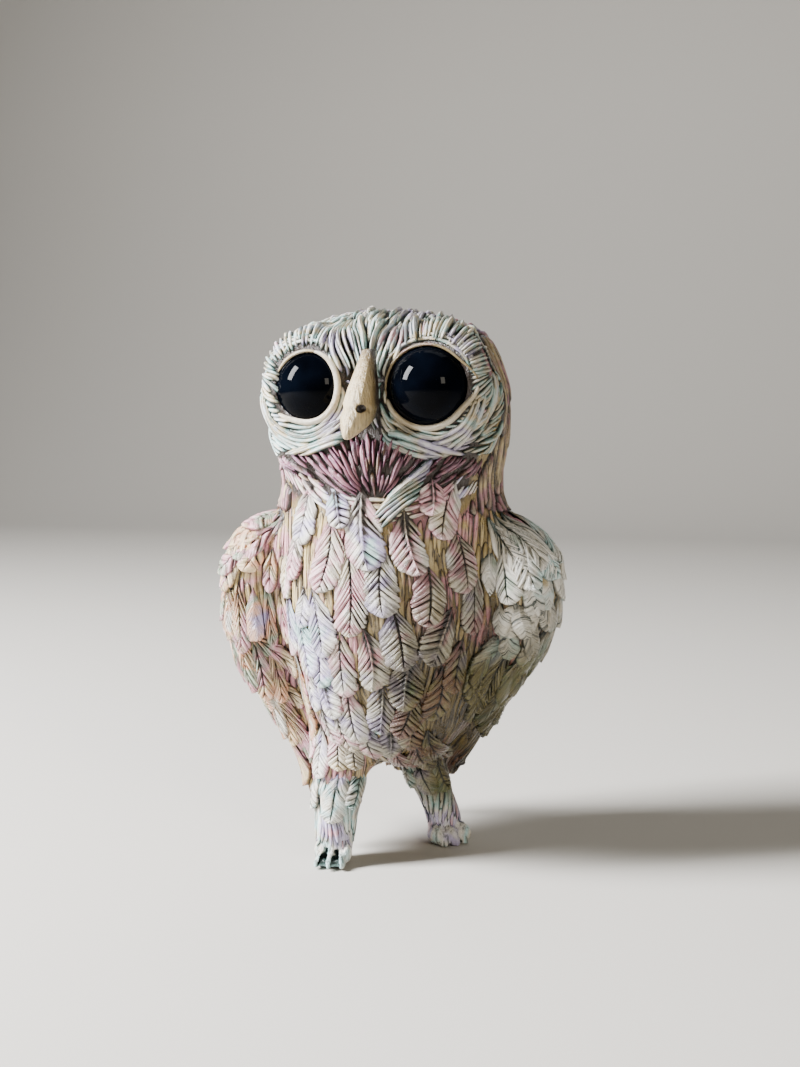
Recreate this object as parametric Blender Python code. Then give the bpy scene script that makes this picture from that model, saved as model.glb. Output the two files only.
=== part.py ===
"""Owl figurine: hand-modelled clay over a foil core and a wire armature, with two glass eyes.

Metres, +Z up. The owl faces -Y, its own left side is +X, and it stands on its two soles at z = 0.
Sizes are written in millimetres and turned into metres by the helpers. An angle round a ring of
the body is in degrees from the front, growing towards the owl's left side.
"""

import math

import bmesh
import bpy
import numpy as np
from mathutils import Matrix, Vector

MM = 0.001

# Driving dimensions, in millimetres.
GAP = 0.3  # between pieces that touch
CLAY_WALL = 5.0  # clay over the foil core
TORSO_TOP = 94.0
HEAD_BOTTOM = TORSO_TOP + GAP
WIRE_RADIUS = 1.2
ANKLE_HEIGHT = 6.0
EYE_RADIUS = 10.0  # a 20 mm glass eye
EYE_CENTRE = Vector((13.8, -16.8, 117.3))
EYE_OUTWARD = 8.0  # degrees that each eye looks away from straight ahead
EYE_BACK = 3.0  # from the eye's centre to its flat back
LID_RING = 10.5
LID_ROLL = 1.0  # radius of the clay roll that makes a lid
LID_FORWARD = 4.6  # from the eye's centre to the plane of its lids
HEAD_TURN = -1.0  # degrees about the neck, towards the owl's right side
DISC_HOLE = 12.0
DISC_THICKNESS = 2.0
FEATHER_THICKNESS = 1.4
# From the ground under the neck, where the shapes below are set out, to the middle of the box's foot.
FRAME_SHIFT = Vector((0.92, -2.18, 0.0))

# Rings: height, centre x, centre y, half width, depth to the front, depth to the back.
TORSO_RINGS = (
    (24.0, -1.0, 4.0, 7.0, 6.0, 7.0),
    (26.0, -1.0, 3.5, 12.5, 11.0, 13.0),
    (30.0, -1.0, 3.0, 17.0, 16.0, 18.0),
    (36.0, -0.5, 2.5, 20.5, 20.0, 22.0),
    (44.0, 0.0, 2.0, 23.0, 23.0, 25.0),
    (54.0, 0.0, 1.5, 25.5, 25.5, 27.0),
    (64.0, 0.0, 1.0, 27.0, 27.0, 28.0),
    (74.0, 0.0, 0.5, 27.5, 26.5, 27.5),
    (84.0, 0.0, 0.0, 27.5, 25.0, 26.0),
    (94.3, 0.0, -0.5, 27.8, 23.0, 25.0),
)
HEAD_RINGS = (
    (94.0, 0.0, -0.5, 28.0, 22.8, 25.0),
    (99.0, 0.0, -0.8, 29.5, 22.6, 25.5),
    (106.0, 0.0, -1.0, 30.6, 22.0, 26.0),
    (114.0, 0.0, -1.0, 31.0, 21.5, 26.0),
    (121.0, 0.0, -1.0, 29.8, 21.0, 25.0),
    (127.0, 0.0, -1.0, 26.8, 19.5, 23.0),
    (132.0, 0.0, -1.0, 21.5, 16.5, 19.0),
    (135.0, 0.0, -1.0, 14.5, 11.5, 13.0),
    (136.5, 0.0, -1.0, 6.0, 5.0, 5.5),
)
TORSO_CORE_RINGS = (
    (31.0, -0.5, 2.5, 7.0, 7.0, 8.0),
    (36.0, -0.5, 2.5, 14.0, 13.0, 15.0),
    (44.0, 0.0, 2.0, 17.0, 17.0, 19.0),
    (64.0, 0.0, 1.0, 21.5, 21.5, 22.5),
    (84.0, 0.0, 0.0, 22.0, 19.5, 20.5),
    (93.0, 0.0, -0.5, 21.0, 17.0, 18.5),
)
HEAD_CORE_RINGS = (
    (95.5, 0.0, 1.0, 18.0, 13.0, 16.0),
    (106.0, 0.0, 1.0, 23.5, 10.5, 17.5),
    (116.0, 0.0, 1.0, 24.0, 9.5, 17.5),
    (124.0, 0.0, 1.0, 21.0, 9.0, 15.5),
    (129.0, 0.0, 1.0, 13.0, 7.0, 10.0),
)
LEFT_WING_RINGS = (
    (18.0, 12.8, 25.0, 1.2, 2.5, 2.5),
    (22.0, 14.0, 23.0, 2.6, 5.0, 5.0),
    (30.0, 17.0, 19.0, 4.3, 9.0, 9.0),
    (41.0, 22.8, 13.0, 6.0, 13.5, 13.0),
    (52.0, 28.5, 8.0, 8.5, 16.5, 15.0),
    (64.0, 32.4, 4.0, 9.5, 17.0, 15.0),
    (74.0, 32.6, 2.0, 9.5, 15.0, 14.0),
    (81.0, 31.4, 1.0, 8.0, 12.0, 12.0),
    (85.5, 29.8, 1.0, 5.0, 8.0, 8.0),
    (87.5, 29.4, 1.0, 2.0, 4.0, 4.0),
)
# The right wing hangs straighter than the left one, so its tip is beside the leg.
RIGHT_WING_RINGS = (
    (10.5, -20.2, 1.5, 1.0, 1.5, 1.5),
    (14.0, -20.8, 2.5, 2.0, 3.5, 3.5),
    (20.0, -21.6, 5.0, 3.0, 5.0, 6.0),
    (26.0, -22.4, 8.0, 4.6, 8.5, 10.0),
    (34.0, -25.8, 8.0, 6.0, 11.5, 12.0),
    (44.5, -31.0, 7.0, 8.0, 14.5, 13.0),
    (52.0, -34.0, 5.0, 9.0, 16.0, 14.0),
    (64.0, -34.5, 3.0, 9.5, 16.0, 15.0),
    (74.0, -34.5, 2.0, 9.5, 15.0, 14.0),
    (81.0, -33.0, 1.0, 8.0, 12.0, 12.0),
    (85.5, -31.0, 1.0, 5.0, 8.0, 8.0),
    (87.5, -30.5, 1.0, 2.0, 4.0, 4.0),
)
TAIL_RINGS = (
    (11.0, 0.5, 36.3, 9.5, 0.8, 0.8),
    (12.0, 0.5, 36.0, 10.5, 1.4, 1.4),
    (16.0, 0.5, 34.5, 12.0, 2.4, 2.4),
    (26.0, 0.5, 31.0, 13.0, 3.8, 3.8),
    (36.0, 0.5, 27.0, 13.0, 5.0, 4.5),
    (44.0, 0.0, 24.0, 10.0, 5.0, 4.0),
)
RIGHT_LEG_RINGS = (
    (ANKLE_HEIGHT + GAP, -13.0, -6.4, 4.9, 4.9, 4.9),
    (12.0, -12.7, -6.0, 5.2, 5.0, 5.2),
    (20.0, -12.1, -5.0, 6.7, 6.2, 6.7),
    (27.0, -11.2, -3.5, 8.4, 7.6, 8.0),
    (34.0, -10.4, -2.0, 8.8, 8.0, 8.5),
)
LEFT_LEG_RINGS = (
    (ANKLE_HEIGHT + GAP, 9.4, 18.0, 4.5, 4.5, 4.5),
    (12.0, 7.7, 16.6, 4.6, 4.6, 4.6),
    (20.0, 5.2, 13.6, 5.9, 5.6, 5.6),
    (27.0, 4.8, 10.5, 7.7, 7.0, 7.0),
    (34.0, 5.4, 8.0, 8.0, 7.5, 7.5),
)
# Height, middle x, ridge y, half width, base y: the beak's level sections, from its tip up to the brow.
BEAK_SECTIONS = (
    (105.6, -1.3, -34.3, 0.7, -33.0),
    (106.6, -1.2, -34.7, 1.6, -30.8),
    (108.4, -1.0, -34.4, 2.8, -27.2),
    (110.4, -0.8, -33.6, 3.7, -24.2),
    (113.0, -0.5, -32.2, 4.0, -23.3),
    (117.0, -0.1, -30.0, 3.4, -23.2),
    (121.5, 0.4, -27.2, 2.5, -23.1),
    (126.0, 0.8, -24.2, 1.6, -22.4),
)
# Rows of breast feathers: height of the tips, length, width, and the angle of each feather.
BREAST_ROWS = (
    (81.0, 10.8, 9.0, (-37, -13, 11, 35)),
    (68.5, 12.0, 10.0, (-47, -24, 0, 24, 46)),
    (56.0, 12.0, 10.0, (-37, -12, 12, 36)),
    (44.0, 11.5, 9.0, (-47, -24, -1, 23, 46)),
    (33.0, 10.5, 8.5, (-27, -1, 24)),
)
# Wing feathers lie on a wing's outer side: angle and height of the root, then of the tip, and the width.
WING_COVERTS = (
    (60, 80.0, 58, 68.0, 6.0),
    (93, 81.0, 92, 69.0, 6.0),
    (126, 80.0, 127, 68.0, 6.0),
)
LEFT_PRIMARIES = (
    (60, 61.0, 63, 37.0, 4.6),
    (90, 62.0, 94, 35.0, 4.6),
    (120, 61.0, 125, 37.0, 4.6),
)
RIGHT_PRIMARIES = (
    (60, 61.0, 61, 37.0, 4.6),
    (90, 62.0, 92, 35.0, 4.6),
    (120, 61.0, 123, 37.0, 4.6),
)
TAIL_FEATHERS = (-7.5, 0.5, 8.5)  # each one's place across the tail

# Finishes: colour, roughness and metallic value.
BODY_CLAY = ((0.80, 0.72, 0.64), 0.55, 0.0)
FACE_CLAY = ((0.82, 0.74, 0.68), 0.55, 0.0)
WING_CLAY = ((0.70, 0.62, 0.52), 0.55, 0.0)
LID_CLAY = ((0.80, 0.73, 0.60), 0.5, 0.0)
BEAK_CLAY = ((0.74, 0.70, 0.55), 0.45, 0.0)
GLASS = ((0.006, 0.009, 0.020), 0.03, 0.0)
FOIL = ((0.75, 0.76, 0.78), 0.35, 1.0)
STEEL = ((0.45, 0.45, 0.47), 0.4, 1.0)


class Shape:
    """A body of level rings, smooth between the given ones."""

    def __init__(self, rings):
        table = np.array(rings, float)
        self.heights, self.values = table[:, 0], table[:, 1:]
        self.slopes = np.gradient(self.values, self.heights, axis=0)
        steps = np.diff(self.values, axis=0)
        # A slope is zero at a turning point, so that the wall never bulges past a ring.
        turning = np.sign(steps[1:]) != np.sign(steps[:-1])
        self.slopes[1:-1][turning] = 0.0

    def ring(self, height):
        """Centre x, centre y, half width, front and back depth at a height."""
        i = int(np.clip(np.searchsorted(self.heights, height) - 1, 0, len(self.heights) - 2))
        low, high = self.heights[i], self.heights[i + 1]
        span = high - low
        t = (min(max(height, low), high) - low) / span
        rise = t * t * (3 - 2 * t)
        return (
            self.values[i] * (1 - rise)
            + self.values[i + 1] * rise
            + self.slopes[i] * span * t * (1 - t) ** 2
            - self.slopes[i + 1] * span * t * t * (1 - t)
        )

    def point(self, angle, height, out=0.0):
        """The wall's point at an angle from the front, moved out by a distance."""
        x, y, side, front, back = self.ring(height)
        sine, cosine = math.sin(math.radians(angle)), math.cos(math.radians(angle))
        depth = front if cosine > 0 else back
        return Vector((x + (side + out) * sine, y - (depth + out) * cosine, height)) * MM

    def loop(self, height, segments, out=0.0):
        """One ring of points."""
        return [self.point(360 * i / segments, height, out) for i in range(segments)]

    def radius(self, height):
        """About how far the wall is from the ring's centre."""
        _, _, side, front, back = self.ring(height)
        return (2 * side + front + back) / 4


def levels(low, high, count):
    """Heights from low to high, closer together at both ends."""
    return [low + (high - low) * (1 - math.cos(math.pi * i / count)) / 2 for i in range(count + 1)]


def material(name, colour, roughness, metallic):
    made = bpy.data.materials.new(name)
    made.use_nodes = True
    shader = made.node_tree.nodes["Principled BSDF"]
    shader.inputs["Base Color"].default_value = (*colour, 1.0)
    shader.inputs["Roughness"].default_value = roughness
    shader.inputs["Metallic"].default_value = metallic
    return made


def add(name, mesh, finish=None, smooth_under=40):
    """A mesh as an object, shaded smooth across edges flatter than the given angle."""
    mesh.shade_smooth()
    mesh.set_sharp_from_angle(angle=math.radians(smooth_under))
    made = bpy.data.objects.new(name, mesh)
    if finish is None:  # a cutter or a piece that a Boolean joins on
        made.hide_render = True
        made.display_type = "WIRE"
    else:
        mesh.materials.append(material(name, *finish))
    bpy.context.scene.collection.objects.link(made)
    made.parent = OWL
    return made


def skin(name, loops, closed=False):
    """A mesh through loops of points, capped at both ends, or joined end to end if closed."""
    shape = bmesh.new()
    rows = [[shape.verts.new(p) for p in loop] for loop in loops]
    pairs = list(zip(rows, rows[1:] + rows[:1] if closed else rows[1:]))
    for low, high in pairs:
        for i in range(len(low)):
            j = (i + 1) % len(low)
            shape.faces.new((low[i], low[j], high[j], high[i]))
    if not closed:
        shape.faces.new(rows[0])
        shape.faces.new(rows[-1])
    bmesh.ops.recalc_face_normals(shape, faces=shape.faces)
    mesh = bpy.data.meshes.new(name)
    shape.to_mesh(mesh)
    shape.free()
    return mesh


def slab(name, surface, place, rows, columns, thickness):
    """A closed sheet on a surface: place(s, t) gives the angle and height for s 0 to 1 and t -1 to 1."""
    shape = bmesh.new()
    faces = []
    for out in (GAP, GAP + thickness):
        sheet = []
        for i in range(rows + 1):
            line = []
            for j in range(columns + 1):
                angle, height = place(i / rows, 2 * j / columns - 1)
                line.append(shape.verts.new(surface.point(angle, height, out)))
            sheet.append(line)
        faces.append(sheet)
    under, over = faces
    for sheet in faces:
        for i in range(rows):
            for j in range(columns):
                shape.faces.new((sheet[i][j], sheet[i][j + 1], sheet[i + 1][j + 1], sheet[i + 1][j]))
    rim = [(0, j) for j in range(columns)] + [(i, columns) for i in range(rows)]
    rim += [(rows, j) for j in range(columns, 0, -1)] + [(i, 0) for i in range(rows, 0, -1)]
    for (a, b), (c, d) in zip(rim, rim[1:] + rim[:1]):
        shape.faces.new((under[a][b], under[c][d], over[c][d], over[a][b]))
    bmesh.ops.recalc_face_normals(shape, faces=shape.faces)
    mesh = bpy.data.meshes.new(name)
    shape.to_mesh(mesh)
    shape.free()
    return mesh


def boolean(target, other, operation="DIFFERENCE"):
    change = target.modifiers.new(other.name, "BOOLEAN")
    change.operation = operation
    change.object = other
    change.solver = "EXACT"


def body(name, shape, finish, count, segments):
    """A solid body from a shape's rings."""
    loops = [shape.loop(z, segments) for z in levels(shape.heights[0], shape.heights[-1], count)]
    return add(name, skin(name, loops), finish)


def clearance(name, shape, count, segments, high=None):
    """A cutter a gap larger than the body that it makes room for."""
    loops = []
    for z in levels(shape.heights[0], shape.heights[-1] if high is None else high, count):
        loops.append(shape.loop(z, segments, GAP * 1.2))
    for loop, shift in ((loops[0], -GAP), (loops[-1], GAP)):
        for point in loop:
            point.z += shift * MM
    return add(name + "_clearance", skin(name + "_clearance", loops))


def shell(name, shape, finish, opening, closed_end, wall, segments, count):
    """A hollow body, open at the height of its opening and closed at its other end."""
    inner_end = closed_end + (wall if closed_end < opening else -wall)
    outside = [shape.loop(z, segments) for z in levels(closed_end, opening, count)]
    inside = [shape.loop(z, segments, -wall) for z in levels(opening, inner_end, count - 3)]
    return add(name, skin(name, outside + inside), finish)


def wire_path(rings, top_points):
    """A wire's centre line: up the middle of a leg, then to the points above it, as rings."""
    legs = [(z, x, y) for z, x, y, *_ in rings]
    first = (2.0, legs[0][1], legs[0][2])
    lower = [p for p in legs if p[0] < 30]
    return [(z, x, y, WIRE_RADIUS, WIRE_RADIUS, WIRE_RADIUS) for z, x, y in [first, *lower, *top_points]]


def wire(name, rings):
    """A wire, and the cutter that clears it."""
    shape = Shape(rings)
    body(name, shape, STEEL, 9, 8)
    return clearance(name, shape, 9, 8)


def eye_matrix(side):
    """An eye's own frame: its +Z looks out of the head."""
    centre = Vector((EYE_CENTRE.x * side, EYE_CENTRE.y, EYE_CENTRE.z)) * MM
    yaw = math.radians(EYE_OUTWARD) * side
    outward = Vector((math.sin(yaw), -math.cos(yaw), 0.04)).normalized()
    upward = Vector((0, 0, 1))
    across = upward.cross(outward).normalized()
    return Matrix.Translation(centre) @ Matrix((across, outward.cross(across), outward)).transposed().to_4x4()


def dome(radius, back, segments=20, rings=9):
    """Loops of a ball cut flat behind its centre."""
    first = math.asin(-back / radius)
    turns = [first + (math.pi / 2 - 0.09 - first) * i / rings for i in range(rings + 1)]
    return [
        [
            Vector((math.cos(a) * math.cos(b), math.cos(a) * math.sin(b), math.sin(a))) * radius * MM
            for b in (2 * math.pi * i / segments for i in range(segments))
        ]
        for a in turns
    ]


def cylinder(name, radius, low, high, segments=20):
    """A cutter along its own +Z."""
    turns = [2 * math.pi * i / segments for i in range(segments)]
    ring = [(math.cos(turn) * radius, math.sin(turn) * radius) for turn in turns]
    loops = [[Vector((x, y, z)) * MM for x, y in ring] for z in (low, high)]
    return add(name, skin(name, loops))


def lid(name, side, start, end):
    """A clay roll round part of an eye's rim. Angles go from the outer corner over the top."""
    curve = bpy.data.curves.new(name, "CURVE")
    curve.dimensions = "3D"
    curve.bevel_depth = LID_ROLL * MM
    curve.bevel_resolution = 1
    curve.use_fill_caps = True
    line = curve.splines.new("POLY")
    count = 11
    line.points.add(count - 1)
    for i, point in enumerate(line.points):
        share = i / (count - 1)
        turn = math.radians(start + (end - start) * share)
        place = Vector((math.cos(turn) * LID_RING * side, math.sin(turn) * LID_RING, LID_FORWARD)) * MM
        point.co = (*place, 1.0)
        point.radius = 0.55 + 0.45 * math.sin(math.pi * share) ** 0.5
    curve.materials.append(material(name, *LID_CLAY))
    made = bpy.data.objects.new(name, curve)
    bpy.context.scene.collection.objects.link(made)
    made.parent = OWL
    made.matrix_basis = eye_matrix(side)
    return made


def eyes(head, discs):
    """Glass eyes, the sockets that hold them, and their lids."""
    for label, side in (("right", -1), ("left", 1)):
        eye = add(label + "_eye", skin(label + "_eye", dome(EYE_RADIUS, EYE_BACK)), GLASS)
        socket_radius = EYE_RADIUS + GAP * 1.3
        loops = dome(socket_radius, EYE_BACK + GAP * 1.3)
        socket = add(label + "_socket", skin(label + "_socket", loops))
        mouth = cylinder(label + "_socket_mouth", DISC_HOLE, 0.4, 14.0)
        for piece in (eye, socket, mouth):
            piece.matrix_basis = eye_matrix(side)
        for clay in (head, discs[side]):
            boolean(clay, socket)
            boolean(clay, mouth)
        lid(label + "_upper_lid", side, 2, 196)
        lid(label + "_lower_lid", side, 204, 354)


def face_disc(label, side, head):
    """The plate round one eye: a rounded patch of the head's surface."""

    def place(s, t):
        height = 99.5 + 31.5 * s
        bulge = math.sqrt(max(0.0, 1 - ((height - 114.5) / 17.5) ** 2))
        inner, outer = 10.5, 30 + 46 * bulge
        return side * (inner + (outer - inner) * (t + 1) / 2), height

    mesh = slab(label + "_face_disc", head, place, 11, 8, DISC_THICKNESS)
    return add(label + "_face_disc", mesh, FACE_CLAY)


def chin_tuft(head):
    """The fan of short feathers under the beak."""

    def place(s, t):
        return t * (9 + 15 * s), 95.6 + 3.4 * s + 5.5 * s * max(0.0, 1 - 3 * abs(t))

    return add("chin_tuft", slab("chin_tuft", head, place, 4, 6, 1.8), FACE_CLAY)


def beak():
    """A hooked beak with a sharp ridge, and a nostril in each side."""
    loops = []
    for height, across, ridge, half, base in BEAK_SECTIONS:
        middle = ridge * 0.62 + base * 0.38
        outline = ((0, ridge), (0.42, ridge * 0.93 + base * 0.07), (0.85, middle), (1, base))
        right = [(w * half, y) for w, y in outline]
        left = [(-w, y) for w, y in reversed(right[1:])]
        loops.append([Vector((across + x, y, height)) * MM for x, y in right + left])
    made = add("beak", skin("beak", loops), BEAK_CLAY)
    for side in (-1, 1):
        nostril = cylinder("nostril_cutter", 0.9, -1.2, 3.0, 10)
        nostril.location = Vector((3.2 * side - 0.5, -29.0, 112.3)) * MM
        nostril.rotation_euler = (0, math.radians(90 * side), 0)
        boolean(made, nostril)
    return made


def feather(name, surface, root, tip, width, finish):
    """A leaf-shaped sheet of clay from its root to its rounded tip, each an angle and a height."""
    (root_angle, root_height), (tip_angle, tip_height) = root, tip

    def place(s, t):
        half = width / 2 * (0.55 + 0.45 * math.sin(math.pi * min(s / 0.62, 1) / 2))
        rounding = math.sqrt(1 - 0.86 * max(0.0, (s - 0.6) / 0.4) ** 2)
        height = root_height + (tip_height - root_height) * s
        turn = math.degrees(half * rounding * t / surface.radius(height))
        return root_angle + (tip_angle - root_angle) * s + turn, height

    return add(name, slab(name, surface, place, 5, 2, FEATHER_THICKNESS), finish)


def breast_feathers(torso):
    number = 0
    for tip_height, length, width, angles in BREAST_ROWS:
        for angle in angles:
            number += 1
            name = f"breast_feather_{number:02d}"
            feather(name, torso, (angle * 0.96, tip_height + length), (angle, tip_height), width, BODY_CLAY)


def wing(label, side, rings, primaries, fences):
    """A wing over its flank, with its covert and primary feathers."""
    shape = Shape(rings)
    made = body(label + "_wing", shape, WING_CLAY, 12, 20)
    for fence in fences:
        boolean(made, fence)
    for kind, places in (("covert", WING_COVERTS), ("primary", primaries)):
        for number, (root, root_height, tip, tip_height, width) in enumerate(places, 1):
            name = f"{label}_{kind}_{number}"
            feather(name, shape, (side * root, root_height), (side * tip, tip_height), width, WING_CLAY)
    return clearance(label + "_wing", shape, 12, 20)


def tail(fences):
    """The tail and the three long feathers laid on its back."""
    shape = Shape(TAIL_RINGS)
    made = body("tail", shape, WING_CLAY, 7, 20)
    for fence in fences:
        boolean(made, fence)
    for number, across in enumerate(TAIL_FEATHERS, 1):
        lean = math.degrees(math.asin(across / 13.0))
        feather(f"tail_feather_{number}", shape, (180 - lean, 33.0), (180 - lean, 14.0), 4.5, WING_CLAY)


def leg(name, rings, wire_shape, fences):
    """A clay sleeve round the leg's wire."""
    shape = Shape(rings)
    heights = levels(rings[0][0], rings[-1][0], 7)
    outside = [shape.loop(z, 14) for z in heights]
    bore = [wire_shape.loop(z, 14, GAP * 1.2) for z in reversed(heights)]
    made = add(name, skin(name, outside + bore, closed=True), BODY_CLAY)
    for fence in fences:
        boolean(made, fence)


def foot(label, ankle, yaw, ankle_radius, wire_cutter):
    """A foot whose three toes point along its own -Y, with a flat sole."""
    instep = Shape(
        (
            (0.0, 0.0, -0.6, 4.2, 4.4, 4.2),
            (3.0, 0.0, -0.4, 4.6, 4.6, 4.5),
            (ANKLE_HEIGHT, 0.0, 0.0, ankle_radius, ankle_radius, ankle_radius),
        )
    )
    place = Matrix.Translation(Vector((*ankle, 0.0)) * MM) @ Matrix.Rotation(math.radians(yaw), 4, "Z")
    made = body(label + "_foot", instep, BODY_CLAY, 4, 14)
    made.matrix_basis = place
    toe_shape = Shape(((0.0, 0, 0, 1.9, 4.3, 4.3), (1.7, 0, 0, 1.8, 4.2, 4.2), (3.7, 0, 0, 0.7, 2.4, 2.4)))
    for spread in (-26, 0, 26):
        toe = body(f"{label}_toe_{spread}", toe_shape, None, 4, 10)
        turn = Matrix.Rotation(math.radians(spread), 4, "Z")
        toe.matrix_basis = place @ turn @ Matrix.Translation(Vector((0.0, -3.9, 0.0)) * MM)
        boolean(made, toe, "UNION")
    boolean(made, wire_cutter)


for old in list(bpy.data.objects):
    bpy.data.objects.remove(old)

OWL = bpy.data.objects.new("owl", None)
bpy.context.scene.collection.objects.link(OWL)
OWL.location = FRAME_SHIFT * MM


def build_head(neck_cut):
    """The head's pieces, all turned a little on the neck."""
    pivot = bpy.data.objects.new("head", None)
    bpy.context.scene.collection.objects.link(pivot)
    pivot.parent = OWL
    pivot.rotation_euler.z = math.radians(HEAD_TURN)
    earlier = list(bpy.data.objects)
    head = Shape(HEAD_RINGS)
    core = body("head_foil_core", Shape(HEAD_CORE_RINGS), FOIL, 7, 20)
    boolean(core, neck_cut)
    clay = shell("head_clay", head, FACE_CLAY, HEAD_BOTTOM, HEAD_RINGS[-1][0], CLAY_WALL, 36, 11)
    discs = {side: face_disc(label, side, head) for label, side in (("right", -1), ("left", 1))}
    eyes(clay, discs)
    chin_tuft(head)
    beak()
    for piece in bpy.data.objects:
        if piece not in earlier:
            piece.parent = pivot


def build():
    torso = Shape(TORSO_RINGS)
    torso_fence = clearance("torso", torso, 11, 32, TORSO_TOP)

    right_wire_rings = wire_path(RIGHT_LEG_RINGS, [(34.0, -9.6, -1.5), (52.0, -6.0, 0.0)])
    left_wire_rings = wire_path(LEFT_LEG_RINGS, [(34.0, 5.4, 7.5), (52.0, 5.4, 4.0)])
    neck_rings = [(z, 0.0, 2.0, 1.6, 1.6, 1.6) for z in (72.0, 90.0, 104.0, 120.0)]
    right_cut = wire("right_leg_wire", right_wire_rings)
    left_cut = wire("left_leg_wire", left_wire_rings)
    neck_cut = wire("neck_wire", neck_rings)

    torso_core = body("torso_foil_core", Shape(TORSO_CORE_RINGS), FOIL, 8, 20)
    floor = TORSO_RINGS[0][0]
    torso_clay = shell("torso_clay", torso, BODY_CLAY, TORSO_TOP, floor, CLAY_WALL, 32, 11)
    for cut in (right_cut, left_cut):
        boolean(torso_clay, cut)
        boolean(torso_core, cut)
    boolean(torso_core, neck_cut)
    build_head(neck_cut)

    breast_feathers(torso)
    left_fence = wing("left", 1, LEFT_WING_RINGS, LEFT_PRIMARIES, [torso_fence])
    right_fence = wing("right", -1, RIGHT_WING_RINGS, RIGHT_PRIMARIES, [torso_fence])
    tail([torso_fence, left_fence, right_fence])

    leg("right_leg", RIGHT_LEG_RINGS, Shape(right_wire_rings), [torso_fence])
    leg("left_leg", LEFT_LEG_RINGS, Shape(left_wire_rings), [torso_fence])
    foot("right", (-13.0, -6.4), 2, 4.9, right_cut)
    foot("left", (9.4, 18.0), 42, 4.5, left_cut)


build()
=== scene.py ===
"""Owl figurine: hand-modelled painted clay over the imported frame, seen in plain studio light.

Metres, in the frame's own axes: the owl faces -Y, its left side is +X, up is +Z. Lengths written in
millimetres are multiplied by MM. Clay is laid on one smooth form made from the CAD solids: feathers and
strokes are closed ribbons that are pressed onto it, so that each follows the surface under it.
"""

import math

import bmesh
import bpy
import numpy as np
from mathutils import Matrix, Vector
from mathutils.bvhtree import BVHTree


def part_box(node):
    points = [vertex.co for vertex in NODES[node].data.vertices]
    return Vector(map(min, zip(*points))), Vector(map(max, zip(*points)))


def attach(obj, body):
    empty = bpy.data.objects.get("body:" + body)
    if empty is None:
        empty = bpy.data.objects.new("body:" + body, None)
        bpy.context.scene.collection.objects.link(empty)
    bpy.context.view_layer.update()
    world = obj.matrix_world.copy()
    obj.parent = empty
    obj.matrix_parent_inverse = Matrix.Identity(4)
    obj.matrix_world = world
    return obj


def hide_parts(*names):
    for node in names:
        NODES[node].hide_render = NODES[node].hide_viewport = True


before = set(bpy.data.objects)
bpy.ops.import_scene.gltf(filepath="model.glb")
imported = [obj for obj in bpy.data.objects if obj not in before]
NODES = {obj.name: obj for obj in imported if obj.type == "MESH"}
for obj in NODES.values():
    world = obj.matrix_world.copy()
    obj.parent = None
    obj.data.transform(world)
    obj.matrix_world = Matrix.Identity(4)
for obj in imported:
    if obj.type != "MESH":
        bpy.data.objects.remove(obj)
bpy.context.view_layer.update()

MM = 0.001
CLAY_INSET = 1.2 * MM  # the form lies this far under the CAD surface, to leave room for feathers
RNG = np.random.default_rng(7)


def ball_of(name):
    """The centre and radius of a node that is part of a ball."""
    points = np.array([v.co for v in NODES[name].data.vertices])
    terms = np.c_[2 * points, np.ones(len(points))]
    solved = np.linalg.lstsq(terms, (points**2).sum(1), rcond=None)[0]
    centre = solved[:3]
    return centre, math.sqrt(solved[3] + centre @ centre)


EYES = {"right": ball_of("right_eye"), "left": ball_of("left_eye")}
ACROSS = EYES["left"][0] - EYES["right"][0]
ACROSS = ACROSS / np.linalg.norm(ACROSS)  # from the owl's right eye to its left one
UP = np.array((0.0, 0.0, 1.0))
FORWARD = np.cross(ACROSS, UP)  # where the face looks
FROM_BEHIND = np.array((0.0, -1.0, 0.0))
NECK_SETBACK = 2.0 * MM  # the neck's wire stands behind the figure's axis
NECK_LOW, NECK_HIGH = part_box("neck_wire")
NECK = (NECK_LOW + NECK_HIGH) / 2
AXIS = Vector((NECK.x, NECK.y - NECK_SETBACK, 0.0))
AXIS_XY = np.array(AXIS)


def heading(degrees):
    """A level direction at an angle from the front, towards the owl's left."""
    turn = math.radians(degrees)
    return np.array((math.sin(turn), -math.cos(turn), 0.0))


def clamp(values):
    return np.clip(values, 0, 1)


def read(items, attribute, width=3, kind=float):
    """One attribute of every vertex, edge or triangle, as rows."""
    values = np.empty(len(items) * width, kind)
    items.foreach_get(attribute, values)
    return values.reshape(-1, width)


def coords(mesh):
    return read(mesh.vertices, "co")


def reshape(mesh, points):
    mesh.vertices.foreach_set("co", points.ravel())
    mesh.update()


def as_object(name, data):
    made = bpy.data.objects.new(name, data)
    bpy.context.scene.collection.objects.link(made)
    return made


# ---------------------------------------------------------------- the form that clay is laid on


def ring_mesh(shape, place, outward, up, facing, profile):
    """A closed ring turned round an axis. The profile holds distances from the axis and along it."""
    rows = []
    for turn in np.linspace(0, 2 * math.pi, 49)[:-1]:
        across = outward * math.cos(turn) + up * math.sin(turn)
        rows.append([shape.verts.new(place + (across * r + facing * f) * MM) for r, f in profile])
    for i, row in enumerate(rows):
        following = rows[(i + 1) % len(rows)]
        for j in range(len(profile)):
            k = (j + 1) % len(profile)
            shape.faces.new((row[j], row[k], following[k], following[j]))


def ball_mesh(shape, place, radii, yaw):
    """A stretched ball, to be melted into a form."""
    size = Matrix.Diagonal([r * MM for r in radii] + [1.0])
    matrix = Matrix.Translation(place) @ Matrix.Rotation(yaw, 4, "Z") @ size
    bmesh.ops.create_uvsphere(shape, u_segments=20, v_segments=12, radius=1.0, matrix=matrix)


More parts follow.
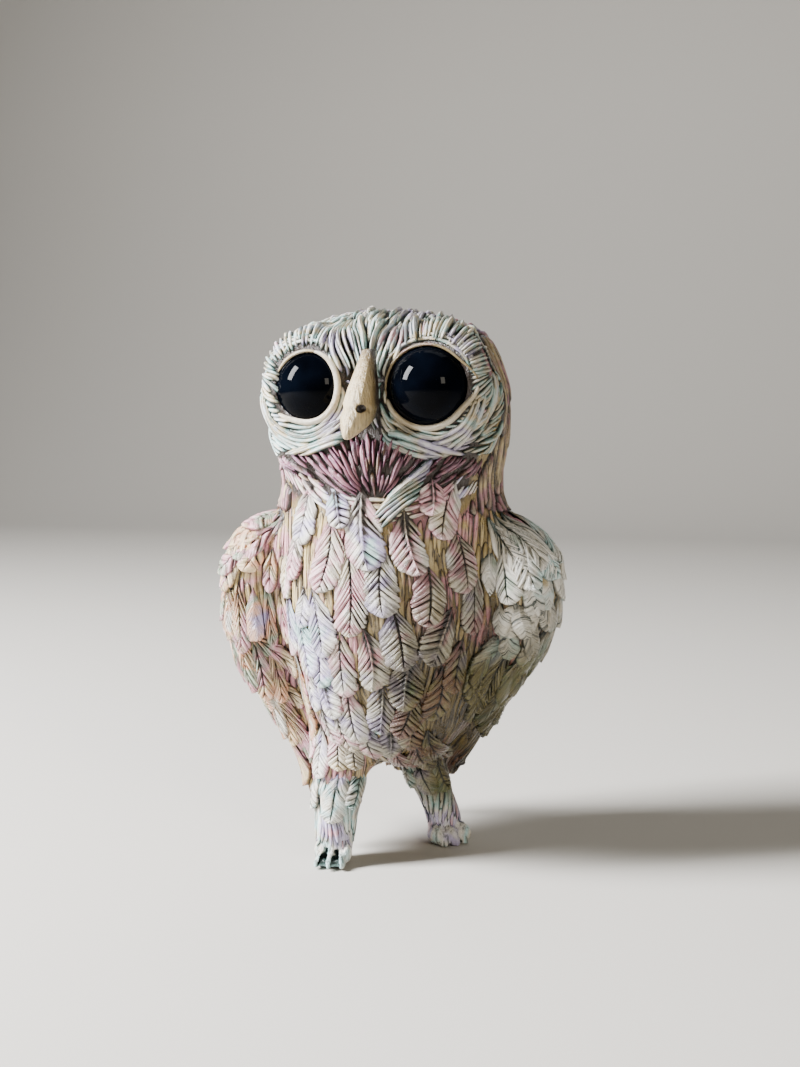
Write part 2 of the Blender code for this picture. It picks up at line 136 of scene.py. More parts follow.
def largest_island(mesh):
    """Leaves only the surface that the highest vertex belongs to."""
    shape = bmesh.new()
    shape.from_mesh(mesh)
    start = max(shape.verts, key=lambda v: v.co.z)
    reached, waiting = {start}, [start]
    while waiting:
        for edge in waiting.pop().link_edges:
            for vertex in edge.verts:
                if vertex not in reached:
                    reached.add(vertex)
                    waiting.append(vertex)
    lost = [v for v in shape.verts if v not in reached]
    bmesh.ops.delete(shape, geom=lost, context="VERTS")
    shape.to_mesh(mesh)
    shape.free()


def melt(source, voxel):
    made = source.modifiers.new("melt", "REMESH")
    made.mode = "VOXEL"
    made.voxel_size = voxel


def fuse(name, nodes, voxel, rounds, close=0.0, extra=()):
    """CAD nodes melted into one smooth body. Creases narrower than twice the closing distance
    are filled."""
    shape = bmesh.new()
    for node in nodes:
        shape.from_mesh(NODES[node].data)
    for build, *arguments in extra:
        build(shape, *arguments)
    bmesh.ops.recalc_face_normals(shape, faces=shape.faces)
    mesh = bpy.data.meshes.new(name + "_source")
    shape.to_mesh(mesh)
    shape.free()
    source = as_object(name + "_source", mesh)
    melt(source, voxel)
    for step in (close, -close) if close else ():
        move = source.modifiers.new("move", "DISPLACE")
        move.strength = step
        move.mid_level = 0.0
        melt(source, voxel)
    smooth = source.modifiers.new("smooth", "SMOOTH")
    smooth.factor = 0.5
    smooth.iterations = rounds
    shown = source.evaluated_get(bpy.context.evaluated_depsgraph_get())
    mesh = bpy.data.meshes.new_from_object(shown)
    mesh.name = name
    bpy.data.objects.remove(source)
    largest_island(mesh)
    mesh.shade_smooth()
    return mesh


SMOOTHINGS = 6  # how often a skin's normals are averaged with their neighbours'


class Skin:
    """A surface that clay is pressed onto."""

    def __init__(self, mesh, inset):
        mesh.calc_loop_triangles()
        self.tris = read(mesh.loop_triangles, "vertices", 3, int)
        edges = read(mesh.edges, "vertices", 2, int)
        normals = read(mesh.vertex_normals, "vector")
        for _ in range(SMOOTHINGS):
            total = normals.copy()
            np.add.at(total, edges[:, 0], normals[edges[:, 1]])
            np.add.at(total, edges[:, 1], normals[edges[:, 0]])
            normals = total / np.linalg.norm(total, axis=1, keepdims=True)
        self.points = coords(mesh) - normals * inset
        self.normals = normals
        reshape(mesh, self.points)
        self.tree = BVHTree.FromPolygons(self.points.tolist(), self.tris.tolist())

    def press(self, points):
        """The nearest places on the surface, and the smoothed normals there."""
        flat = points.reshape(-1, 3)
        places = np.empty_like(flat)
        faces = np.empty(len(flat), int)
        nearest = self.tree.find_nearest
        for i, point in enumerate(flat.tolist()):
            place, _, faces[i], _ = nearest(point)
            places[i] = place
        corners = self.tris[faces]
        a, b, c = (self.points[corners[:, k]] for k in range(3))
        ab, ac, ap = b - a, c - a, places - a
        d00, d01, d11 = (ab * ab).sum(1), (ab * ac).sum(1), (ac * ac).sum(1)
        d20, d21 = (ap * ab).sum(1), (ap * ac).sum(1)
        area = np.maximum(d00 * d11 - d01 * d01, 1e-30)
        v, w = (d11 * d20 - d01 * d21) / area, (d00 * d21 - d01 * d20) / area
        weights = clamp(np.c_[1 - v - w, v, w])
        normals = (self.normals[corners] * weights[:, :, None]).sum(1)
        normals /= np.linalg.norm(normals, axis=1, keepdims=True)
        return places.reshape(points.shape), normals.reshape(points.shape)

    def nearest(self, point):
        return np.array(self.tree.find_nearest(point)[0])

    def normal_near(self, point):
        face = self.tree.find_nearest(point)[2]
        return self.normals[self.tris[face]].mean(0)

    def toward(self, start, direction, reach=0.0):
        """Where a straight line first meets the surface, or the nearest place to a point along it."""
        hit = self.tree.ray_cast(Vector(start), Vector(direction))[0]
        if hit is None:
            hit = self.tree.find_nearest(Vector(start + direction * reach))[0]
        return np.array(hit)

    def around(self, angle, height):
        """The outermost place at an angle from the front, towards the owl's left, and a height."""
        out = heading(angle)
        return self.toward(AXIS_XY + out * 80 * MM + UP * height * MM, -out)

    def face(self, x, z):
        """A place on the face: x towards the owl's left, z up, in millimetres, seen from its front."""
        start = AXIS_XY + ACROSS * x * MM + UP * z * MM + FORWARD * 70 * MM
        return self.toward(start, -FORWARD, 66 * MM)


# ---------------------------------------------------------------- ribbons of clay


def mark(mesh, name, values):
    """Gives every vertex a vector that materials read."""
    layer = mesh.attributes.new(name, "FLOAT_VECTOR", "POINT")
    layer.data.foreach_set("vector", np.asarray(values, np.float32).ravel())


class Batch:
    """Closed pieces of clay that make one object.

    Each point has paint (a dark wash that is partly painted shade, tone and hue) and grain (across,
    along and a seed, in millimetres).
    """

    def __init__(self):
        self.points, self.faces, self.paint, self.grain = [], [], [], []
        self.count = 0

    def add(self, points, faces, paint, grain):
        self.points.append(points.reshape(-1, 3))
        self.paint.append(paint.reshape(-1, 3))
        self.grain.append(grain.reshape(-1, 3))
        self.faces += [[i + self.count for i in face] for face in faces]
        self.count += len(self.points[-1])

    def mesh(self, name):
        mesh = bpy.data.meshes.new(name)
        mesh.from_pydata(np.concatenate(self.points).tolist(), [], self.faces)
        mark(mesh, "paint", np.concatenate(self.paint))
        mark(mesh, "grain", np.concatenate(self.grain))
        shape = bmesh.new()
        shape.from_mesh(mesh)
        bmesh.ops.remove_doubles(shape, verts=shape.verts, dist=1e-6)
        bmesh.ops.recalc_face_normals(shape, faces=shape.faces)
        shape.to_mesh(mesh)
        shape.free()
        mesh.shade_smooth()
        mesh.set_sharp_from_angle(angle=math.radians(75))
        return mesh


def tube_faces(rows, columns):
    """Faces of a tube of closed rows, with its first row capped."""
    faces = []
    for i in range(rows - 1):
        for j in range(columns):
            k = (j + 1) % columns
            a, b = i * columns, (i + 1) * columns
            faces.append([a + j, a + k, b + k, b + j])
    faces.append(list(range(columns))[::-1])
    return faces


def curve_through(points, count):
    """Evenly numbered points along a smooth curve through a few points."""
    points = np.asarray(points, float)
    if len(points) == 2:
        share = np.linspace(0, 1, count)[:, None]
        return points[0] * (1 - share) + points[1] * share
    padded = np.vstack((2 * points[0] - points[1], points, 2 * points[-1] - points[-2]))
    spans = len(points) - 1
    made = []
    for t in np.linspace(0, spans, count):
        i = min(int(t), spans - 1)
        u = t - i
        p0, p1, p2, p3 = padded[i : i + 4]
        square = 2 * p0 - 5 * p1 + 4 * p2 - p3
        cube = 3 * p1 - p0 - 3 * p2 + p3
        made.append(0.5 * (2 * p1 + (p2 - p0) * u + square * u**2 + cube * u**3))
    return np.array(made)


class Track:
    """A line on a skin, with the direction across it at each station."""

    def __init__(self, skin, points, stations=14):
        self.places, self.normals = skin.press(curve_through(points, stations))
        along = np.gradient(self.places, axis=0)
        across = np.cross(along, self.normals)
        self.across = across / np.maximum(np.linalg.norm(across, axis=1, keepdims=True), 1e-12)
        self.length = np.linalg.norm(np.diff(self.places, axis=0), axis=1).sum()

    def at(self, share, offset):
        """Points at shares of the length, offset to the side."""
        stations = np.linspace(0, 1, len(self.places))
        place, across = (
            np.stack([np.interp(share, stations, rows[:, k]) for k in range(3)], -1)
            for rows in (self.places, self.across)
        )
        return place + across * offset[..., None]


# Each row across a barb: its place in the barb and the depth of the groove there.
BARB_PHASES = ((0.0, 1.0), (0.16, 0.22), (0.5, 0.0), (0.84, 0.22))
VANE = (0.0, 0.1, 0.36, 0.66, 0.92, 1.0)  # columns from the midrib to the rim


def feather(batch, skin, points, width, barbs, thick, root=0.15, groove=0.38, smooth_tip=0.15,
            bend=0.0, rib=0.4):
    """One clay feather from its root to its tip, with slanting barbs cut into both vanes.

    It is a ribbon of rows from root to tip and columns from rim to rim, with a skirt round it. The
    root's height, the thickness and the depths of grooves and rib are in millimetres. A rib below
    zero stands up between two dark lines. At zero there is none.
    """
    track = Track(skin, points)
    width = width * MM / 2
    lopsided = RNG.uniform(0.88, 1.12)
    ratio = width / max(track.length, MM)
    rows = [(b + phase) / barbs for b in range(barbs) for phase, _ in BARB_PHASES] + [1.0]
    depth = [d for _ in range(barbs) for _, d in BARB_PHASES] + [0.0]
    a = np.array(rows)[:, None]
    depth = np.array(depth)[:, None]
    columns = [-v for v in VANE[:0:-1]] + list(VANE)
    u = np.array(columns)[None, :]
    side = np.abs(u)

    shoulder = 1 - min(0.42, max(0.16, ratio * 1.05))  # where the rounded tip begins
    start, turn = 0.36, 0.72  # where the outline begins, and where it starts to round
    q = start + (1 - start) * a**0.9
    straight = clamp(q / turn) * shoulder
    arc = clamp((q - turn) / (1 - turn)) * math.pi / 2
    rim_share = np.where(q < turn, straight, shoulder + (1 - shoulder) * np.sin(arc))
    spread = 0.5 + 0.5 * np.sin(clamp(rim_share / 0.6) * math.pi / 2)
    rim_out = spread * np.cos(arc)

    wobble = RNG.normal(0, 0.2 / barbs, (len(rows), 2))
    wobble[-1] = 0
    shift = np.where(u < 0, wobble[:, :1], wobble[:, 1:]) * np.minimum(side * 3, 1) * (1 - a)
    share = clamp(a + (rim_share - a) * side**0.85 + shift)
    phases = len(BARB_PHASES)
    each = (len(rows) // phases + 1, 2)  # one value for every barb on either side
    strength = RNG.uniform(0.25, 1.35, each).repeat(phases, axis=0)[: len(rows)]
    strength = np.where(u < 0, strength[:, :1], strength[:, 1:])
    ragged = RNG.normal(1.0, 0.05, each).repeat(phases, axis=0)[: len(rows)]
    ragged = np.where(u < 0, ragged[:, :1] * lopsided, ragged[:, 1:] / lopsided)
    out = rim_out * u * ragged * (1 - 0.14 * depth * strength * side)
    fade = clamp((1 - share) / max(smooth_tip, 1e-3))
    cut = depth * strength * fade * clamp(side / 0.1) * (1 - 0.7 * side**4)
    midrib = (side == 0) * clamp((1 - share) / 0.12) * clamp(share / 0.1)
    lift = root + (thick - root) * share**1.2
    crown = 0.3 * (1 - side**2)
    edge = np.select([side == 1.0, side > 0.9], [0.34, 0.05], 0.0)
    height = lift + crown - groove * cut - rib * midrib - edge
    # Dark wash, partly painted shade: in the cuts, on or beside the midrib, along the rim and over the
    # root, which lies under the feathers above.
    beside = (side == VANE[1]) * clamp((0.8 - share) * 4)
    dark_rib = midrib * 1.1 if rib > 0 else beside * -3 * rib
    wash_and_shade = clamp(cut + dark_rib + (side == 1.0) * 0.3 + clamp(0.45 - share) * 1.1)

    # The skirt closes the rim down into the form, a little undercut. Its full wash is a painted shadow
    # under the rim.
    share = np.c_[share[:, :1], share, share[:, -1:]]
    out = np.c_[out[:, :1] * 0.94, out, out[:, -1:] * 0.94]
    height = np.c_[np.full_like(a, -0.5), height, np.full_like(a, -0.5)]
    wash_and_shade = np.c_[np.ones_like(a), wash_and_shade, np.ones_like(a)]
    sideways = (out * width) + bend * MM * (share - share**2) * 4
    places, normals = skin.press(track.at(share, sideways))
    points = places + normals * height[..., None] * MM
    points[-1, 1:-1] = points[-1, len(columns) // 2 + 1]
    points[-1, 0] = points[-1, -1]
    tone, hue = RNG.random(), RNG.random()
    paint = np.stack([wash_and_shade, np.full_like(wash_and_shade, tone), np.full_like(wash_and_shade, hue)], -1)
    along = np.broadcast_to(a * track.length / MM, share.shape)
    grain = np.stack([along, out * width / MM, np.full_like(wash_and_shade, RNG.uniform(0, 99))], -1)
    batch.add(points, tube_faces(*share.shape), paint, grain)


RIDGE = (-1.0, -0.74, -0.38, 0.0, 0.38, 0.74, 1.0)  # columns across a stroke


def stroke(batch, skin, points, width, height, lift, steps, blunt=0.0, raised=0.0):
    """One combed ridge of clay. It tapers at both ends, or ends blunt, and its far end may stand
    proud."""
    track = Track(skin, points, steps + 2)
    share = np.linspace(0, 1, steps)[:, None]
    u = np.array(RIDGE)[None, :]
    gone = share * track.length / MM
    taper = 0.3 + 0.7 * clamp(gone / 2.2) ** 0.8
    end = clamp((track.length / MM - gone) / 3.4) ** 0.8
    end = blunt + (1 - blunt) * end
    end[-1] = 0.0
    body = taper * end
    wiggle = RNG.normal(0, 0.08, share.shape)
    out = u * body * (1 + wiggle)
    top = (1 - np.abs(u) ** 1.7) ** 0.85
    rise = raised + height * (0.35 + 0.65 * body) * top + lift * share**2
    rise = np.where(np.abs(u) == 1.0, raised * 0.5 - 0.35, rise)
    places, normals = skin.press(track.at(np.broadcast_to(share, out.shape), out * width * MM / 2))
    points = places + normals * rise[..., None] * MM
    crest = len(RIDGE) // 2
    points[-1, :] = points[-1, crest]
    points[0, :] = places[0, crest] - normals[0, crest] * 0.2 * MM
    # Dark wash on the flanks and at the start, partly painted shade in the gaps between strokes.
    wash_and_shade = np.broadcast_to(clamp(np.abs(u) ** 2.2 * 1.1), out.shape).copy()
    wash_and_shade[0] = 1.0
    wash_and_shade += clamp(0.25 - share) * 1.2
    tone, hue = RNG.random(), clamp(RNG.normal(0.5, 0.22))
    paint = np.stack([clamp(wash_and_shade), np.full_like(wash_and_shade, tone), np.full_like(wash_and_shade, hue)], -1)
    along = np.broadcast_to(share * track.length / MM, out.shape)
    grain = np.stack([out * width / 2, along, np.full_like(wash_and_shade, RNG.uniform(0, 99))], -1)
    batch.add(points, tube_faces(*out.shape), paint, grain)


class Taken:
    """Places that strokes already cover, kept in cells wider than any spacing."""

    cell = 2.6 * MM

    def __init__(self):
        self.cells = {}

    def key(self, point):
        return tuple(int(v // self.cell) for v in point)

    def add(self, points):
        for point in points:
            self.cells.setdefault(self.key(point), []).append(point)

    def near(self, point, reach):
        i, j, k = self.key(point)
        for a in (i - 1, i, i + 1):
            for b in (j - 1, j, j + 1):
                for c in (k - 1, k, k + 1):
                    for x, y, z in self.cells.get((a, b, c), ()):
                        apart = (x - point[0]) ** 2 + (y - point[1]) ** 2 + (z - point[2]) ** 2
                        if apart < reach * reach:
                            return True
        return False


def trace(skin, taken, start, field, inside, length, gap):
    """A line along a direction field, until it meets another line or leaves its region."""
    step = 0.6 * MM
    line = [start]
    place = start
    for _ in range(int(length / step)):
        way, normal = field(place), skin.normal_near(place)
        way = way - normal * (way @ normal)
        size = np.linalg.norm(way)
        if size < 0.05:
            break
        place = skin.nearest(place + way / size * step)
        if taken.near(place, gap) or not inside(place):
            break
        line.append(place)
    return line


def comb(batch, skin, taken, inside, field, spacing, longest, width, height, lift, blunt):
    """Fills a region with ridges of clay that follow a direction field and keep a set spacing."""
    seeds = skin.points[RNG.permutation(len(skin.points))]
    spacing, longest = spacing * MM, longest * MM
    for seed in seeds[[inside(p) for p in seeds]]:
        if taken.near(seed, spacing):
            continue
        length = longest * RNG.uniform(0.6, 1.1)
        back = trace(skin, taken, seed, lambda p: -field(p), inside, length * 0.5, spacing * 0.5)
        ahead = trace(skin, taken, seed, field, inside, length * 0.5, spacing * 0.5)
        line = np.array(back[::-1] + ahead[1:])
        if len(line) < 5:
            continue
        taken.add(line)
        stroke(batch, skin, line[:: max(1, len(line) // 6)], width * RNG.uniform(0.8, 1.3),
               height * RNG.uniform(0.65, 1.35), lift, max(6, len(line) // 2), blunt)


def roll(batch, line, radii, wash_and_shade, tone):
    """A round roll of clay along a free line, closed to a point at both ends."""
    line = np.asarray(line, float)
    along = np.gradient(line, axis=0)
    along /= np.linalg.norm(along, axis=1, keepdims=True)
    first = np.cross(along, line - line.mean(0))
    first /= np.maximum(np.linalg.norm(first, axis=1, keepdims=True), 1e-12)
    second = np.cross(along, first)
    turns = np.linspace(0, 2 * math.pi, 11)[:-1]
    ring = np.cos(turns)[None, :, None] * first[:, None] + np.sin(turns)[None, :, None] * second[:, None]
    points = line[:, None] + ring * np.asarray(radii)[:, None, None] * MM
    points[0], points[-1] = line[0], line[-1]
    paint, grain = np.empty(points.shape), np.empty(points.shape)
    paint[...] = (wash_and_shade, tone, tone)
    grain[..., 0] = np.cos(turns)
    grain[..., 1] = np.arange(len(line))[:, None]
    grain[..., 2] = np.sin(turns)
    batch.add(points, tube_faces(len(line), 10), paint, grain)


# ---------------------------------------------------------------- the eyes and their surroundings

LID_ROLL = 0.7  # radius of a lid
# A lid's distance from its eye's axis across and up, where the lids meet, and how far they are
# drawn out there.
LID_REACH = {"right": (7.5, 8.2), "left": (9.5, 9.5)}
LID_CORNER = {"right": (-36, 1.6), "left": (4, 2.3)}
EYE_MARGIN = 0.3  # strokes keep this far from a lid


def eye_axes(label):
    """An eye's centre, outward, up and forward directions."""
    centre = EYES[label][0]
    facing = FORWARD + UP * 0.04
    facing = facing / np.linalg.norm(facing)
    across = np.cross(UP, facing)
    across /= np.linalg.norm(across)
    up = np.cross(facing, across)
    return centre, across * (1 if label == "left" else -1), up, facing


AXES = {label: eye_axes(label) for label in EYES}
GLASS_RADIUS = EYES["left"][1] / MM - 0.1


def lid_reach(label, turn):
    across, up = LID_REACH[label]
    return across * math.cos(turn) ** 2 + up * math.sin(turn) ** 2


def lid_forward(label, turn):
    """How far in front of an eye's centre its lid touches the glass."""
    inner = lid_reach(label, turn) - LID_ROLL
    return math.sqrt(GLASS_RADIUS**2 - inner**2) + 0.15


def collar(shape, label):
    """The clay round an eye, which carries its lids."""
    diagonal = 0.8  # between across and up
    reach, forward = lid_reach(label, diagonal), lid_forward(label, diagonal)
    profile = (
        (reach - 1.3, -3.0), (reach - 1.3, forward + 0.7), (reach + 0.5, forward + 0.9),
        (reach + 2.2, forward + 0.3), (reach + 4.5, forward - 1.2), (reach + 7.0, forward - 3.8),
        (reach + 7.0, -7.0),
    )
    ring_mesh(shape, *AXES[label], profile)


def eye_polar(label, point):
    """A point's distance from an eye's axis in millimetres, and its angle up from the outer corner."""
    centre, outward, up, _ = AXES[label]
    offset = point - centre
    return math.hypot(offset @ outward, offset @ up) / MM, math.atan2(offset @ up, offset @ outward)


def rim_point(label, reach, turn, forward=4.0):
    centre, outward, up, facing = AXES[label]
    return centre + (outward * math.cos(turn) + up * math.sin(turn)) * reach * MM + facing * forward * MM


# ---------------------------------------------------------------- the forms

BODY_NODES = (
    "torso_clay", "torso_foil_core", "head_clay", "head_foil_core", "right_face_disc",
    "left_face_disc", "chin_tuft", "right_wing", "left_wing", "tail", "right_leg", "left_leg",
)
FORM = fuse("clay_form", BODY_NODES, voxel=0.75 * MM, rounds=8, close=3.0 * MM,
            extra=((collar, "right"), (collar, "left")))


def form_inset():
    """The form's depth under the CAD surface. It is more at the sides of the head, under the strands."""
    places = coords(FORM) - AXIS_XY
    aside = clamp((np.abs(places @ ACROSS) / MM - 23) / 6)
    high = clamp((places[:, 2] / MM - 91) / 6)
    return (CLAY_INSET * (1 + 1.3 * aside * high))[:, None]


SKIN = Skin(FORM, form_inset())
FOOT_YAW = {"right": 2, "left": 42}  # where the toes point, from the front towards the owl's left
TOES = {  # each toe's middle, sideways and back from its ankle
    "right": ((-3.2, -1.6), (0.0, -2.2), (3.2, -1.6)),
    "left": ((-3.7, -2.8), (-0.2, -4.2), (3.6, -3.4)),
}
TOE_SIZE = {"right": (1.7, 3.2, 3.4), "left": (2.2, 3.8, 2.7)}
ANKLE, SHIN_HEIGHT, KNEE = 7, 15, 27  # heights on a leg
# Cuts between the toes: where each starts, how high it ends, its width and its depth.
TOE_CUTS = {
    "right": ((-1.6, -7.4, 4.6, 1.3, 3.4), (1.6, -7.4, 4.2, 1.3, 3.4)),
    "left": ((-1.8, -6.6, 4.6, 0.8, 1.5), (1.6, -7.0, 4.6, 0.8, 1.5)),
}


def spine(node, height):
    """The middle of a leg or foot at a height, on the floor."""
    points = coords(NODES[node].data)
    weights = np.exp(-(((points[:, 2] - height * MM) / (4 * MM)) ** 2))
    return np.array((*(points[:, :2] * weights[:, None]).sum(0) / weights.sum(), 0.0))


SHIN = {label: spine(label + "_leg", SHIN_HEIGHT)[:2] for label in FOOT_YAW}


def foot_place(label, x, y, z):
    """A place on a foot, from its ankle, in the foot's own directions and millimetres."""
    forward = heading(FOOT_YAW[label])
    side = np.array((-forward[1], forward[0], 0.0))
    return spine(label + "_leg", ANKLE) + (side * x - forward * y) * MM + UP * z * MM


def toes(shape, label):
    for x, y in TOES[label]:
        turn = math.radians(FOOT_YAW[label] + x * 4)
        place = Vector(foot_place(label, x, y, TOE_SIZE[label][2] - 0.1))
        ball_mesh(shape, place, TOE_SIZE[label], turn)


def carve(points, normals, wash_and_shade, start, end, width, depth):
    """Presses a tapering groove into a form, along a line."""
    span = end - start
    share = clamp((points - start) @ span / (span @ span))
    apart = np.linalg.norm(points - start - share[:, None] * span, axis=1)
    reach = width * MM * (1 - 0.7 * share)
    deep = clamp(1 - (apart / reach) ** 2)
    points -= normals * deep[:, None] * depth * MM
    # Painted shade: the groove is darkened with the wash, as a deep cut lies in shade.
    wash_and_shade[:] = np.maximum(wash_and_shade, clamp(deep * 2.2))


def leg_form(label):
    """A leg and its foot as one body, with cuts between the toes and its sole on the floor."""
    both = (label + "_leg", label + "_foot")
    mesh = fuse(label + "_leg_form", both, voxel=0.4 * MM, rounds=3, extra=((toes, label),))
    points = coords(mesh)
    tuck = clamp((points[:, 2:] / MM - 19) / 7) * 0.35
    points[:, :2] += (spine(label + "_leg", KNEE)[:2] - points[:, :2]) * tuck
    normals = read(mesh.vertex_normals, "vector")
    wash_and_shade = np.full(len(points), 0.12)
    for x, y, rise, width, depth in TOE_CUTS[label]:
        start = foot_place(label, x, y, 0)
        end = foot_place(label, x * 0.9, y * 0.65, rise)
        carve(points, normals, wash_and_shade, start, end, width, depth)
    points[:, 2] -= points[:, 2].min() * clamp(1 - points[:, 2] / (6 * MM))
    reshape(mesh, points)
    return mesh, wash_and_shade


# ---------------------------------------------------------------- directions that strokes follow

CHEEK_X = (0, 5, 15, 20, 28, 34)
CHEEK_Z = (107, 107, 103.5, 102.5, 100.5, 100)
CHIN_X, CHIN_Z = 2.5, 93.0


def head_place(point):
    """Sideways, up and forward distances in the head's own directions, in millimetres."""
    offset = point - AXIS_XY
    return offset @ ACROSS / MM, point[2] / MM, offset @ FORWARD / MM


def ease(value, low, high):
    share = min(max((value - low) / (high - low), 0.0), 1.0)
    return share * share * (3 - 2 * share)


def cheek(x):
    return np.interp(abs(x - 1), CHEEK_X, CHEEK_Z)


def chin(x):
    return CHIN_Z + 7.0 * ((x - CHIN_X) / 27) ** 2


def off_eyes(point):
    """Whether a point is outside both eyes. Strokes reach the glass where the right eye has no lid."""
    for label in AXES:
        reach, turn = eye_polar(label, point)
        bare = label == "right" and -34 < math.degrees(turn) < 26
        if reach < lid_reach(label, turn) + (-0.4 if bare else EYE_MARGIN):
            return False
    return True


def face_field(point):
    """Outward from an eye above it, round it below, and up from the beak between the eyes."""
    x, z, _ = head_place(point)
    label = "left" if x > 0 else "right"
    _, outward, up, _ = AXES[label]
    _, turn = eye_polar(label, point)
    radial = outward * math.cos(turn) + up * math.sin(turn)
    around = up * math.cos(turn) - outward * math.sin(turn)
    below = ease(-math.sin(turn), -0.3, 0.15)
    inner = ease(-math.cos(turn), 0.2, 0.9)
    spread = 0.15 + 1.3 * ease(math.cos(turn), 0.3, 0.95)
    way = radial * (1 - below) + (around + radial * spread) * below
    fan = UP + ACROSS * x / 9
    share = (1 - below) * max(inner, ease(8 - abs(x), 0, 6)) * ease(z, 117, 123)
    way = way * (1 - share) + fan * share
    over = ease(z, 129, 136)
    return way * (1 - over) - FORWARD * over


def crown_field(_):
    return -FORWARD - UP * 0.8


def beard_field(point):
    x, z, _ = head_place(point)
    return ACROSS * (CHIN_X - x) + UP * (89.5 - z)


def throat_field(point):
    x, z, _ = head_place(point)
    return ACROSS * (118 - z) + UP * (x - CHIN_X)


def down_field(point):
    sway = 0.16 * math.sin(point[2] * 310 + point[0] * 190) + 0.1 * math.sin(point[0] * 640 + 2)
    return -UP + np.array((sway, 0.0, 0.0))


def turn_of(point):
    """A point's angle from the front in degrees, whichever side it is on."""
    return abs(math.degrees(math.atan2(point[0] - AXIS.x, AXIS.y - point[1])))


def behind_seam(point):
    """How far a point is behind the leaning line on the head where the face ends."""
    _, z, depth = head_place(point)
    return 3 - 0.25 * (z - 118) - depth


def in_face(point):
    x, z, _ = head_place(point)
    aside = turn_of(point) < 74 + 30 * (z > 130)
    return z > cheek(x) and behind_seam(point) < 0 and aside and off_eyes(point)


def in_brow(point):
    x, z, _ = head_place(point)
    return z > 124 + 0.2 * abs(x) and in_face(point)


def in_crown(point):
    return point[2] / MM > 126 - 10 * (turn_of(point) > 96) and behind_seam(point) >= -1


def in_parting(point):
    """The band on top of the head where the face's strokes meet the crown's."""
    return point[2] / MM > 124 and abs(behind_seam(point)) < 3.5


def in_beard(point):
    x, z, depth = head_place(point)
    return chin(x) < z < cheek(x) + 0.6 and turn_of(point) < 66 and depth > 0


def in_chin(point):
    """The middle of the beard, down to where its strokes meet."""
    x, z, depth = head_place(point)
    return chin(x) - 1.5 < z < cheek(x) - 1 and abs(x - CHIN_X) < 11 and depth > 0


def in_throat(point):
    x, z, _ = head_place(point)
    lowest = chin(x) - 6.5 + 0.06 * abs(x - CHIN_X) ** 1.2
    return lowest < z < chin(x) + 2.0 and turn_of(point) < 64


def in_strands(point):
    z = point[2] / MM
    return 60 < turn_of(point) < 112 and 87 < z < 130


def in_body(point):
    z = point[2] / MM
    shins = [math.dist(point[:2], SHIN[label]) < 9.5 * MM for label in SHIN]
    return 12 < z < 90 and (z > 18 or not any(shins))


# ---------------------------------------------------------------- feathers and ridges, from the feet up

# Breast feathers: angle and height of the root, of the tip, the width and the number of barbs.
BREAST = (
    (-38, 95, -42, 80.5, 7.6, 6), (-20, 94.5, -13, 85, 5.8, 4), (-22, 88, -26, 70, 8.2, 7),
    (-3, 95, 2, 75.5, 8.4, 6), (-11, 82, -8, 60.5, 8.2, 9), (-55, 80, -61, 67, 6.6, 5),
    (-62, 70, -64, 53, 7, 6), (-41, 71, -44, 61, 5.8, 4), (-34, 71, -28, 54.5, 7.8, 7),
    (-49, 65, -41, 49.3, 8.2, 7), (-15, 62, -16, 45.5, 7.6, 6), (-2, 63, 2, 47.5, 7.6, 7),
    (10, 82, 10, 65, 7.8, 7), (21, 90, 28, 74.5, 7.8, 6), (33, 77, 32, 63, 7.8, 6),
    (50, 97, 40, 82.5, 7.8, 6), (49, 85, 54, 70, 8.4, 7), (14, 68, 21, 52.5, 8.2, 7),
    (47, 67, 36, 53.5, 7.8, 6), (25, 57, 22, 42.5, 7.6, 8), (45, 53, 42, 40, 6.6, 5),
    (-15, 48, -14, 34, 8, 7), (9, 50, 5, 36.5, 7, 6), (28, 47, 19, 36, 6.6, 6),
    (-35, 51, -30, 39.5, 7, 5), (-53, 52, -50, 40, 6.4, 5), (-47, 85, -50, 72, 6.6, 5),
    (62, 76, 61, 60, 6.6, 6), (57, 60, 54, 46, 6.6, 5), (-31, 41, -28, 31, 6, 4),
    (33, 43, 33, 32, 6.2, 5), (-5, 40, -5, 30, 6.2, 5), (-45, 42, -42, 32, 6, 4),
    (12, 38, 12, 30, 5.6, 4), (36, 97, 35, 88, 6, 4), (-33, 60, -35, 47, 6.4, 5),
)


def breast(batch):
    for root_angle, root, tip_angle, tip, width, barbs in sorted(BREAST, key=lambda row: row[3]):
        ends = SKIN.around(root_angle, root), SKIN.around(tip_angle, tip)
        feather(batch, SKIN, ends, width * RNG.uniform(0.94, 1.12),
                round(barbs * RNG.uniform(1.1, 1.6)), RNG.uniform(1.5, 2.2), root=0.4,
                groove=RNG.uniform(0.6, 0.9), smooth_tip=RNG.choice((0.08, 0.2, 0.4)),
                bend=RNG.uniform(-1.2, 1.2), rib=RNG.choice((0.6, 0.45, -0.2)))


def row(batch, low, high, count, height, length, width, barbs, shifted, jitter, root):
    """Feathers side by side round the body, all hanging down."""
    step = (high - low) / (count - 1)
    for i in range(count):
        angle = low + step * (i + 0.5 * shifted) + RNG.normal(0, jitter)
        top = height + RNG.normal(0, 0.8)
        hang = length * RNG.uniform(0.88, 1.12)
        ends = SKIN.around(angle, top), SKIN.around(angle + RNG.normal(0, jitter), top - hang)
        feather(batch, SKIN, ends, width * RNG.uniform(0.9, 1.08), barbs, RNG.uniform(1.2, 1.6),
                bend=RNG.uniform(-0.5, 0.5), root=root, groove=0.5)


def back(batch):
    """Rows of feathers down the back, from the tail up."""
    for i, root in enumerate(range(47, 99, 9)):
        row(batch, low=130, high=230, count=9, height=root, length=16, width=8.6, barbs=7,
            shifted=i % 2, jitter=2, root=0.35)


